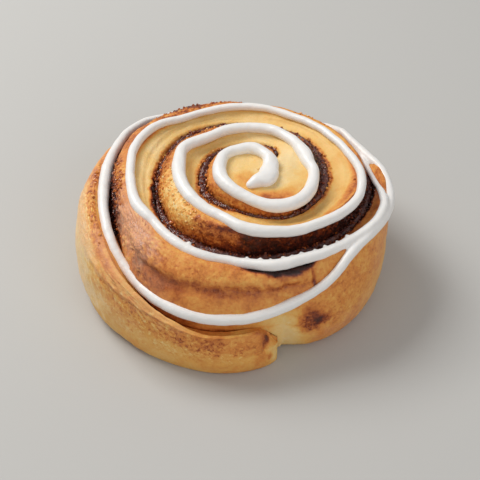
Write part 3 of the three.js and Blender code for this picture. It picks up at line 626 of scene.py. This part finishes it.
def paint(piece, **layers):
    """Keep values from 0 to 1 at each point, for the material to read."""
    for name, values in layers.items():
        layer = piece.data.attributes.new(name, "FLOAT", "POINT")
        layer.data.foreach_set("value", np.clip(values, 0, 1).astype(np.float32))


def painted_on(piece, name):
    values = np.empty(len(piece.data.vertices), np.float32)
    piece.data.attributes[name].data.foreach_get("value", values)
    return values


def wear(piece, material, slot, *nodes):
    """Give a finished piece its material and its place in the frame."""
    piece.data.materials.clear()
    piece.data.materials.append(material)
    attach(piece, "root")
    if nodes:
        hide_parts(*nodes)


# Dough

def strip_turns():
    """Turns of the rings, closer together where the strip is far from the middle."""
    joined = np.linspace(STRIP_START, SLIT_START, JOINED_RINGS + 1)
    turns = list(joined)
    for stop in (FIRST_FULL_TURN, TAIL_TIP):
        while turns[-1] < stop:
            middle = (inner_edge(turns[-1]) + outer_edge(turns[-1])) / 2
            turns.append(turns[-1] + math.degrees(RING_STEP / middle))
        if stop == FIRST_FULL_TURN:
            while turns[-1] > stop - JOINED_STEP / 3:
                turns.pop()
            turns.extend(joined + 360)
    turns[-1] = TAIL_TIP
    return np.array(turns)


def zip_faces(faces, first, second):
    """Faces between two rows of (place, point number), where one may have more points."""
    flip = len(first) > len(second)
    coarse, fine = (second, first) if flip else (first, second)
    start = 0
    for i in range(len(coarse) - 1):
        stop = start + 1
        while stop < len(fine) - 1 and fine[stop][0] < coarse[i + 1][0] - 1e-6:
            stop += 1
        face = [coarse[i][1], coarse[i + 1][1]] + [fine[j][1] for j in range(stop, start - 1, -1)]
        face = list(dict.fromkeys(face))
        if len(face) > 2:
            faces.append(face[::-1] if flip else face)
        start = stop


def dough_shape():
    """Points, faces, turn and across of the wound strip."""
    turns = strip_turns()
    narrow = section_places(OUTSIDE_STEPS, 1)
    front = section_places(FRONT_STEPS, 1)
    wide = section_places(FRONT_STEPS, WALL_STEPS)
    parts, rows, count = [], [], 0
    for turn in turns:
        across = narrow if turn < FRONT_START else front if turn < SIDE_START else wide
        radius, height = section(turn, across)
        sheet = np.column_stack([place(radius, turn, height), np.full(len(across), turn), across])
        parts.append(np.vstack([sheet, [*place(inner_edge(turn), turn, 0), turn, 0]]))
        rows.append([(a, count + i) for i, a in enumerate([*across, -1])])
        count += len(across) + 1
    parts.append([[*SPIRAL_CENTRE, height, STRIP_START, 0] for height in (CORE_HEIGHT, 0)])
    eye_top, eye_base = count, count + 1

    first_partner = int(np.argmin(np.abs(turns - FIRST_FULL_TURN)))
    top_end = LIP_STEPS + INSIDE_STEPS + OUTSIDE_STEPS
    for k in range(JOINED_RINGS + 1):
        partner = rows[first_partner + k]
        rows[k][top_end] = (2, partner[0][1])
        rows[k][top_end + 1] = (3, partner[-1][1])

    faces = []
    for k, (row, after) in enumerate(zip(rows, rows[1:])):
        seen = -2 if k < JOINED_RINGS else -1
        zip_faces(faces, row[:seen], after[:seen])
        faces.append([row[-2][1], row[-1][1], after[-1][1], after[-2][1]])
        if k >= first_partner + JOINED_RINGS:
            faces.append([row[-1][1], row[0][1], after[0][1], after[-1][1]])
        if k < first_partner:
            faces.append([eye_top, row[0][1], after[0][1]])
            faces.append([eye_base, after[-1][1], row[-1][1]])
    faces.append([number for _, number in rows[-1]][::-1])
    points = np.vstack(parts)
    return points[:, :3], faces, points[:, 3], points[:, 4]


class Skin:
    """The dough's surface before its relief, with the noise that its colours and crumbs share."""

    def __init__(self, points, turns, across):
        self.points = points
        self.turn = turns
        self.ragged = noises(points, RAGGED)
        self.across = across + RAGGED_ACROSS * self.ragged
        self.true_across = across

    def value(self, table):
        return along(table, self.turn)


def patches(skin, spots):
    """For each spot, its strength in the middle of the patch, and less towards its bounds."""
    for turn, across, length, width, strength in spots:
        far = np.hypot((skin.turn - turn) / length, (skin.across - across) / width)
        ends = far + RAGGED_PATCH * skin.ragged
        yield strength * (1 - smoothstep(1 - PATCH_SOFTNESS, 1 + PATCH_SOFTNESS, ends))


def spotted(skin, spots):
    return np.maximum.reduce(list(patches(skin, spots)))


def browning_and_shading(skin):
    """How browned the dough is, from 0, cream, to 1, nearly black, with painted shade in folds and
    creases and painted light on a few patches.
    """
    toast = skin.value(TOAST_INSIDE)
    for table, bounds in ((TOAST_CREST, INSIDE_TO_CREST), (TOAST_SLOPE, CREST_TO_SLOPE)):
        toast = toast + (skin.value(table) - toast) * smoothstep(*bounds, skin.across)
    low = smoothstep(SIDE_START, SIDE_START + SIDE_TOAST_BLEND, skin.turn)
    low = low * smoothstep(*SLOPE_TO_LOW, skin.across)
    toast = toast + (skin.value(TOAST_LOW) - toast) * low
    toast = toast + LIP_SHADE * sugared_lip(skin) + SUGAR_SHADE * sugared_slope(skin)
    toast = toast + sum(patches(skin, BROWN_SPOTS)) + folds(skin, BROWN_AND_SHADED_FOLDS)
    # painted shade in the creases of the wrinkled patches, painted light on the ridges between
    crease_shade = spotted(skin, WRINKLED) * (WRINKLE_MIDDLE - wrinkle_pattern(skin))
    return toast + noises(skin.points, UNEVEN_BROWNING) + WRINKLE_SHADE * crease_shade


def sugared_lip(skin):
    """How thickly dark sugar sticks to the lip of a groove."""
    lip = skin.value(GRAIN_LIP) * (1 - smoothstep(*LIP_SUGAR_ENDS, skin.across))
    return np.where(skin.turn < FIRST_FULL_TURN, 0, lip)


def sugared_slope(skin):
    """How thickly it sticks to the slope down to a groove."""
    started = smoothstep(*SUGAR_STARTS, skin.across - skin.value(GRAIN_START))
    ended = smoothstep(SIDE_START - SUGAR_FADES, SIDE_START, skin.turn)
    return skin.value(GRAIN_SLOPE) * started * (1 - ended)


def folds(skin, table):
    """Height of long thin folds that follow the strip, and with the shaded folds' table the painted
    shade beside them.
    """
    total = 0
    for path, inner_width, outer_width, rise in table:
        far = skin.true_across + RAGGED_FOLD * skin.ragged - along(path, skin.turn)
        start, stop = min(path), max(path)
        shown = (smoothstep(start - FOLD_ENDS, start + FOLD_ENDS, skin.turn)
                 * (1 - smoothstep(stop - FOLD_ENDS, stop + FOLD_ENDS, skin.turn)))
        total = total + rise * shown * np.exp(-(far / np.where(far < 0, inner_width, outer_width)) ** 2)
    return total


def wrinkle_pattern(skin):
    """Fine creases that run along the strip: 0 in a crease."""
    from_centre = skin.points[:, :2] - SPIRAL_CENTRE
    length = np.radians(skin.turn) * np.hypot(*from_centre.T)
    places = np.stack([length, skin.true_across, skin.points[:, 2]], axis=-1)
    return np.abs(noises(places / WRINKLE_SIZES, CREASES))


def make_dough():
    points, faces, turns, across = dough_shape()
    piece = mesh_object("dough_strip", points, faces)
    base, normals = points_of(piece)
    skin = Skin(base, turns, across)
    sugar = np.maximum(sugared_slope(skin), sugared_lip(skin))
    grain = np.clip(np.maximum(sugar, spotted(skin, GRAIN_SPOTS)), 0, 1)
    freckles = spotted(skin, FRECKLED)
    toast = browning_and_shading(skin)
    rise = noises(base, *LUMPS) + folds(skin, RIDGES) - sum(patches(skin, DENTS))
    rise += grain * (np.abs(noises(base, SUGAR_LUMPS)) + noises(base, SUGAR_GRAINS))
    rise += smoothstep(*CARAMEL_TOAST, toast) * noises(base, CARAMEL_LUMPS)
    rise += spotted(skin, WRINKLED) * (WRINKLE_DEPTH * wrinkle_pattern(skin) - WRINKLE_SINK)
    rise += freckles * (PITS_EVERYWHERE + (1 - PITS_EVERYWHERE) * grain) * noises(base, CRUST_PITS)
    rise *= smoothstep(0, FOOT_SMOOTH, base[:, 2])
    rise *= 1 - smoothstep(TAIL_END - TAIL_SMOOTH, TAIL_END, turns)
    move_points(piece, base + normals * rise[:, None])
    paint(piece, toast=toast, grain=grain, freckle=freckles, blush=spotted(skin, BLUSHED))
    return piece


# Icing

def dough_height(turn, radius):
    """Height of the dough under a place on top of the roll."""
    level = (turn - STRIP_START) % 360 + STRIP_START
    while level + 360 <= TAIL_END and level <= SEAM and radius > groove_radius(level):
        level += 360
    ring_radius, ring_height = section(level, section_places(OUTSIDE_STEPS, 1)[:-1])
    return np.interp(radius, ring_radius, ring_height)


def icing_middle(turn):
    """Middle of the icing at a turn, as (radius, turn, height)."""
    if turn >= ICING_ROUND_SIDE[0][0]:
        return [along(ICING_SIDE_RADIUS, turn), turn, along(ICING_SIDE_HEIGHT, turn)]
    radius = along(ICING_OVER_TOP, turn)
    thickness = along(ICING_THICKNESS, turn)
    lift = ICING_LIFT * min(thickness, ICING_TALLEST)
    return [radius, turn, max(dough_height(turn, radius + share * thickness)
                              + lift * math.sqrt(1 - share ** 2) for share in ICING_PROBES)]


def icing_line(start, stop):
    """Middle line of the icing, taut over the grooves, its points about 0.5 mm apart or less."""
    middles = [icing_middle(start)]
    while True:
        turn = middles[-1][1] + math.degrees(min(ICING_STEP / middles[-1][0], ICING_STEP_MOST))
        if turn >= stop:
            break
        middles.append(icing_middle(turn))
    middles.append(icing_middle(stop))
    for _ in range(ICING_TAUT_PASSES):
        for before, middle, after in zip(middles, middles[1:], middles[2:]):
            middle[2] = max(middle[2], (before[2] + after[2]) / 2 - ICING_SAG)
    knots = np.array([place(*middle) for middle in middles])
    turns = np.array([middle[1] for middle in middles])
    fine = np.arange((len(turns) - 1) * ICING_FINENESS + 1) / ICING_FINENESS
    return smooth_curve(knots, ICING_FINENESS), np.interp(fine, np.arange(len(turns)), turns)


def smooth_curve(knots, steps):
    """Points on a smooth curve through the knots."""
    ends = np.vstack([2 * knots[0] - knots[1], knots, 2 * knots[-1] - knots[-2]])
    a, b, c, d = (ends[i:len(knots) - 1 + i, None] for i in range(4))
    t = np.arange(steps)[None, :, None] / steps
    curve = 0.5 * (2 * b + (c - a) * t + (2 * a - 5 * b + 4 * c - d) * t ** 2
                   + (3 * b - a - 3 * c + d) * t ** 3)
    return np.vstack([curve.reshape(-1, 3), knots[-1]])


def rope(line, turns):
    """A closed rope along a line, with the icing's thickness at each turn."""
    ahead = unit(np.gradient(line, axis=0))
    beside = unit(np.cross(ahead, [0, 0, 1]))
    upward = np.cross(beside, ahead)
    uneven = ICING_SWELL * (1 + noises(line, ICING_THICKENING))
    wide = along(ICING_THICKNESS, turns) * uneven
    tall = np.minimum(along(ICING_THICKNESS, turns), ICING_TALLEST) * uneven
    angles = 2 * math.pi * np.arange(ICING_SIDES) / ICING_SIDES
    out = np.cos(angles) * (1 + ICING_FLAT_FOOT * np.maximum(0, -np.sin(angles)))
    points = (line[:, None] + (wide[:, None] * out)[:, :, None] * beside[:, None]
              + (tall[:, None] * np.sin(angles))[:, :, None] * upward[:, None])
    return points.reshape(-1, 3), tube_faces(len(line), ICING_SIDES)


def ball(centre, radius, steps=10):
    """A closed ball, as points and faces."""
    form = bmesh.new()
    bmesh.ops.create_uvsphere(form, u_segments=2 * steps, v_segments=steps, radius=radius)
    form.verts.index_update()
    points = np.array([corner.co[:] for corner in form.verts]) + centre
    faces = [[corner.index for corner in face.verts] for face in form.faces]
    form.free()
    return points, faces


def merged(shapes):
    points, faces, count = [], [], 0
    for shape_points, shape_faces in shapes:
        points.append(shape_points)
        faces.extend([[count + i for i in face] for face in shape_faces])
        count += len(shape_points)
    return np.vstack(points), faces


def make_icing():
    inner, inner_turns = icing_line(min(ICING_OVER_TOP), ICING_JOIN[1])
    outer, outer_turns = icing_line(ICING_JOIN[0], ICING_ROUND_SIDE[-1][0])
    shapes = [
        rope(inner, inner_turns),
        rope(outer, outer_turns),
        ball(inner[0], ICING_THICKNESS[min(ICING_THICKNESS)]),
        ball(outer[-1], ICING_THICKNESS[max(ICING_THICKNESS)]),
    ]
    for turn, size in ICING_PEAKS.items():
        at = inner[np.argmin(np.abs(inner_turns - turn))]
        inward = unit(np.array([*SPIRAL_CENTRE, 0]) - at * [1, 1, 0])
        shapes.append(ball(at + inward * PEAK_INWARD + [0, 0, PEAK_UP], size, 6))
    piece = mesh_object("icing_drizzle", *merged(shapes))
    remesh = piece.modifiers.new("fuse", "REMESH")
    remesh.mode = "VOXEL"
    remesh.voxel_size = ICING_VOXEL * MM
    soften = piece.modifiers.new("soften", "SMOOTH")
    soften.factor, soften.iterations = ICING_SOFTENING
    graph = bpy.context.evaluated_depsgraph_get()
    piece.data = bpy.data.meshes.new_from_object(piece.evaluated_get(graph))
    piece.modifiers.clear()
    piece.data.shade_smooth()
    points, normals = points_of(piece)
    move_points(piece, points + normals * noises(points, ICING_SURFACE)[:, None])
    return piece


# Filling

def make_filling():
    turns = [FILLING_START]
    while turns[-1] < FILLING_END:
        turns.append(turns[-1] + math.degrees(FILLING_STEP / groove_radius(turns[-1])))
    turns[-1] = FILLING_END
    sides = np.concatenate([[-1], np.linspace(-1, 1, FILLING_POINTS), [1]])
    rings = []
    for turn in turns:
        half = along(SLIT_HALF_WIDTH, turn) - FILLING_GAP
        top = (along(GROOVE_HEIGHT, turn) - along(FILLING_DEPTH, turn)
               + FILLING_CROWN * (1 - np.abs(sides) ** FILLING_ROUNDNESS))
        top[[0, -1]] = FILLING_BOTTOM
        rings.append(place(groove_radius(turn) + half * sides, turn, top))
    points = np.vstack(rings)
    rough = np.abs(noises(points, FILLING_GRAINS)) + noises(points, FILLING_LUMPS)
    points[:, 2] += np.where(points[:, 2] > FILLING_BOTTOM, rough, 0)
    return mesh_object("filling_sheet", points, tube_faces(len(rings), len(sides)))


# Loose crumbs of cinnamon and sugar

def crumb_shape(draws):
    """Points of one uneven crumb with twenty faces, about 1 mm across, and its faces."""
    golden = (1 + math.sqrt(5)) / 2
    corners = unit(np.array([corner for a in (-1, 1) for b in (-golden, golden)
                             for corner in ((0, a, b), (a, b, 0), (b, 0, a))]))
    faces = []
    for face in itertools.combinations(range(CRUMB_CORNERS), 3):
        a, b, c = corners[list(face)]
        if max(np.linalg.norm([a - b, b - c, a - c], axis=1)) < NEIGHBOURS_WITHIN:
            faces.append(face if np.dot(np.cross(b - a, c - a), a) > 0 else face[::-1])
    return 0.5 * corners * draws.uniform(*CRUMB_ROUGH, (CRUMB_CORNERS, 1)), faces


def scatter(draws, points, normals, sizes, tones):
    """One mesh of crumbs that sit on the given points."""
    shapes = []
    forms = [crumb_shape(draws) for _ in range(CRUMB_FORMS)]
    for point, normal, size in zip(points, normals, sizes):
        form, faces = forms[int(draws.integers(len(forms)))]
        spin = np.array(Matrix.Rotation(-draws.uniform(0, 2 * math.pi), 3, "Z"))
        stretched = form * size * draws.uniform(*CRUMB_STRETCH, 3)
        shapes.append((stretched @ spin + point + normal * CRUMB_PROUD * size, faces))
    piece = mesh_object("cinnamon_crumbs", *merged(shapes))
    piece.data.shade_flat()
    paint(piece, shade=np.repeat(tones, CRUMB_CORNERS))
    return piece


def make_crumbs(dough, filling):
    draws = np.random.default_rng(SEED)
    points, normals = points_of(dough)
    likely = np.clip(painted_on(dough, "grain") - GRAIN_WITHOUT_CRUMBS, 0, 1) ** CRUMB_CROWDING
    likely *= (normals[:, 2] > LEAST_UPWARD) * (points[:, 2] > CRUMBS_LOWEST)
    chosen = draws.choice(len(points), CRUMBS_ON_DOUGH, replace=False, p=likely / likely.sum())
    fill_points, fill_normals = points_of(filling)
    top = np.flatnonzero((fill_normals[:, 2] > LEAST_UPWARD_IN_GROOVE)
                         & (fill_points[:, 2] > GROOVES_IN_SIGHT))
    chosen_top = draws.choice(top, CRUMBS_IN_GROOVES, replace=False)
    places = np.vstack([points[chosen], fill_points[chosen_top]])
    ups = np.vstack([normals[chosen], fill_normals[chosen_top]])
    sizes = draws.uniform(*CRUMB_SIZES, len(places)) * draws.uniform(*CRUMB_SIZES_AGAIN, len(places))
    added = draws.normal(*CRUMB_TONE_ON_DOUGH, CRUMBS_ON_DOUGH)
    tones = np.concatenate([painted_on(dough, "toast")[chosen] + added,
                            draws.normal(*CRUMB_TONE, CRUMBS_IN_GROOVES)])
    return scatter(draws, places, ups, sizes, tones)


# Materials

class Finish:
    """A material whose nodes are added one after the other."""

    def __init__(self, name):
        self.material = bpy.data.materials.new(name)
        self.material.use_nodes = True
        self.tree = self.material.node_tree
        self.shader = self.tree.nodes["Principled BSDF"]
        self.place = self.node("TexCoord", {}).outputs["Object"]

    def value(self, target, given):
        """Link an output to an input, or set the input to a number or a colour."""
        if isinstance(given, bpy.types.NodeSocket):
            self.tree.links.new(given, target)
        elif isinstance(given, tuple):
            target.default_value = (*given, 1)[:len(target.default_value)]
        else:
            target.default_value = given

    def fill(self, node, inputs):
        for name, given in inputs.items():
            self.value(node.inputs[name], given)
        return node

    def node(self, kind, inputs):
        return self.fill(self.tree.nodes.new("ShaderNode" + kind), inputs)

    def set(self, inputs):
        """Link or set inputs of the shader."""
        self.fill(self.shader, inputs)

    def noise(self, size, detail=2, roughness=0.5):
        """Noise from 0 to 1 with lumps of the given size in millimetres."""
        inputs = {"Vector": self.place, "Scale": 1 / (size * MM), "Detail": detail,
                  "Roughness": roughness}
        return self.node("TexNoise", inputs).outputs["Fac"]

    def painted(self, name):
        added = self.node("Attribute", {})
        added.attribute_name = name
        return added.outputs["Fac"]

    def math(self, operation, first, second):
        added = self.node("Math", {0: first, 1: second})
        added.operation = operation
        return added.outputs[0]

    def plus(self, total, source, amount):
        """The total, and the source times an amount added to it."""
        return self.math("ADD", total, self.math("MULTIPLY", source, amount))

    def between(self, source, low, high):
        """0 below low, 1 above high and smooth between."""
        added = self.node("MapRange", {"Value": source, "From Min": low, "From Max": high})
        added.interpolation_type = "SMOOTHSTEP"
        return added.outputs["Result"]

    def mix(self, share, first, second):
        added = self.node("Mix", {"Factor": share})
        added.data_type = "RGBA"
        self.value(added.inputs[6], first)
        self.value(added.inputs[7], second)
        return added.outputs[2]

    def ramp(self, source, stops):
        added = self.node("ValToRGB", {"Fac": source})
        points = added.color_ramp.elements
        while len(points) < len(stops):
            points.new(0.5)
        for point, (position, colour) in zip(points, stops):
            point.position = position
            point.color = (*colour, 1)
        return added.outputs["Color"]

    def bump(self, height, distance):
        added = self.node("Bump", {"Height": height, "Distance": distance * MM})
        self.set({"Normal": added.outputs["Normal"]})


CRUST_COLOURS = [
    (0, (0.85, 0.65, 0.34)),
    (0.15, (0.83, 0.55, 0.195)),
    (0.3, (0.78, 0.4, 0.092)),
    (0.45, (0.68, 0.25, 0.05)),
    (0.6, (0.44, 0.112, 0.019)),
    (0.75, (0.19, 0.034, 0.01)),
    (0.88, (0.08, 0.016, 0.009)),
    (1, (0.03, 0.01, 0.008)),
]
FILLING_COLOURS = [(0.3, (0.045, 0.014, 0.017)), (0.52, (0.12, 0.036, 0.033)),
                   (0.75, (0.27, 0.085, 0.04))]
BLUSH_COLOUR = (0.8, 0.45, 0.28)
BLUSH_MOST = 0.55

# Blotches of the crust as (size in mm, detail, roughness, how much browning they vary)
CRUST_BLOTCHES = [(6, 3, 0.5, 0.28), (2.2, 3, 0.5, 0.22), (0.9, 4, 0.65, 0.18)]
BLOTCHES_ON_CREAM = 0.45  # their strength on cream dough
BLOTCHED_TOAST = (0.15, 0.5)  # browning between which it rises by 1

# Flecks as (the painted value that they follow, size, detail, roughness, the bounds of the noise
# between which they begin, and how much browner they are)
FLECKS = [
    ("freckle", 1.1, 4, 0.7, 0.5, 0.66, 0.16),
    ("freckle", 1.3, 4, 0.7, 0.5, 0.66, -0.2),
    ("grain", 1.8, 4, 0.65, 0.4, 0.6, 0.3),
]

# Roughness of the crust
DULL = 0.56
SHINE = -0.34  # added where it is shiny
SHINY_TOAST = (0.45, 0.72)  # browning between which it turns shiny


def dough_finish():
    finish = Finish("baked_dough")
    toast = finish.painted("toast")
    blotches = 0
    for *kind, amount in CRUST_BLOTCHES:
        centred = finish.math("SUBTRACT", finish.noise(*kind), 0.5)
        blotches = finish.plus(blotches, centred, amount)
    lively = finish.math("ADD", finish.between(toast, *BLOTCHED_TOAST), BLOTCHES_ON_CREAM)
    toast = finish.plus(toast, blotches, lively)
    for name, *kind, low, high, amount in FLECKS:
        flecks = finish.between(finish.noise(*kind), low, high)
        toast = finish.plus(toast, finish.math("MULTIPLY", finish.painted(name), flecks), amount)
    blush = finish.math("MULTIPLY", finish.painted("blush"), BLUSH_MOST)
    finish.set({
        "Base Color": finish.mix(blush, finish.ramp(toast, CRUST_COLOURS), BLUSH_COLOUR),
        "Roughness": finish.plus(DULL, finish.between(toast, *SHINY_TOAST), SHINE),
        "Specular IOR Level": 0.4,
        "Subsurface Weight": 0.12,
        "Subsurface Radius": (0.003, 0.0015, 0.0007),
    })
    finish.bump(finish.noise(0.9, 4, 0.65), 0.26)
    return finish.material


def icing_finish():
    finish = Finish("sugar_icing")
    finish.set({
        "Base Color": (0.83, 0.82, 0.81),
        "Roughness": 0.36,
        "Subsurface Weight": 0.2,
        "Subsurface Radius": (0.002, 0.0018, 0.0016),
    })
    finish.bump(finish.noise(1.6, 2), 0.12)
    return finish.material


def filling_finish():
    finish = Finish("cinnamon_filling")
    colour = finish.ramp(finish.noise(1.5, 4, 0.6), FILLING_COLOURS)
    finish.set({"Base Color": colour, "Roughness": 0.16, "Specular IOR Level": 0.7})
    finish.bump(finish.noise(1.3, 3, 0.6), 0.8)
    return finish.material


def crumb_finish():
    finish = Finish("cinnamon_crumb")
    centred = finish.math("SUBTRACT", finish.noise(0.5), 0.5)
    shade = finish.plus(finish.painted("shade"), centred, 0.2)
    finish.set({"Base Color": finish.ramp(shade, CRUST_COLOURS), "Roughness": 0.2})
    return finish.material


# Camera, lights and floor

def add_camera():
    data = bpy.data.cameras.new("camera")
    data.lens = CAMERA_LENS
    data.sensor_width = CAMERA_SENSOR
    camera = add_object("camera", data)
    elevation = math.radians(CAMERA_ELEVATION)
    backward = Vector((0, -math.cos(elevation), math.sin(elevation)))
    camera.location = (Vector(CAMERA_TARGET) + CAMERA_DISTANCE * backward) * MM
    camera.rotation_euler = (math.radians(90 - CAMERA_ELEVATION - CAMERA_DIP), 0, 0)
    bpy.context.scene.camera = camera


def add_light(name, azimuth, elevation, distance, size, power, colour):
    """A soft square light that points at the roll. Azimuth 0 is at +X, 90 at the back."""
    data = bpy.data.lights.new(name, "AREA")
    data.size = size
    data.energy = power
    data.color = colour
    light = add_object(name, data)
    a, e = math.radians(azimuth), math.radians(elevation)
    direction = Vector((math.cos(e) * math.cos(a), math.cos(e) * math.sin(a), math.sin(e)))
    light.location = direction * distance + Vector(LIT_POINT) * MM
    light.rotation_euler = direction.to_track_quat("Z", "Y").to_euler()


def add_world():
    world = bpy.data.worlds.new("studio")
    world.use_nodes = True
    background = world.node_tree.nodes["Background"]
    background.inputs["Color"].default_value = WORLD_COLOUR
    background.inputs["Strength"].default_value = WORLD_STRENGTH
    bpy.context.scene.world = world


def add_floor():
    corners = np.array([[-1, -1], [1, -1], [1, 1], [-1, 1]]) * FLOOR_HALF
    floor = mesh_object("floor", np.insert(corners, 2, -FLOOR_DROP, axis=1), [[0, 1, 2, 3]])
    finish = Finish("pale_floor")
    finish.set({"Base Color": (0.5, 0.5, 0.49), "Roughness": 0.8})
    floor.data.materials.append(finish.material)


add_camera()
add_world()
add_floor()
for light in LIGHTS:
    add_light(*light)
bpy.context.scene.view_settings.view_transform = "Standard"

dough = make_dough()
filling = make_filling()
wear(dough, dough_finish(), "dough", "dough")
wear(make_icing(), icing_finish(), "icing", "dough")
wear(filling, filling_finish(), "filling", "filling")
wear(make_crumbs(dough, filling), crumb_finish(), "filling")
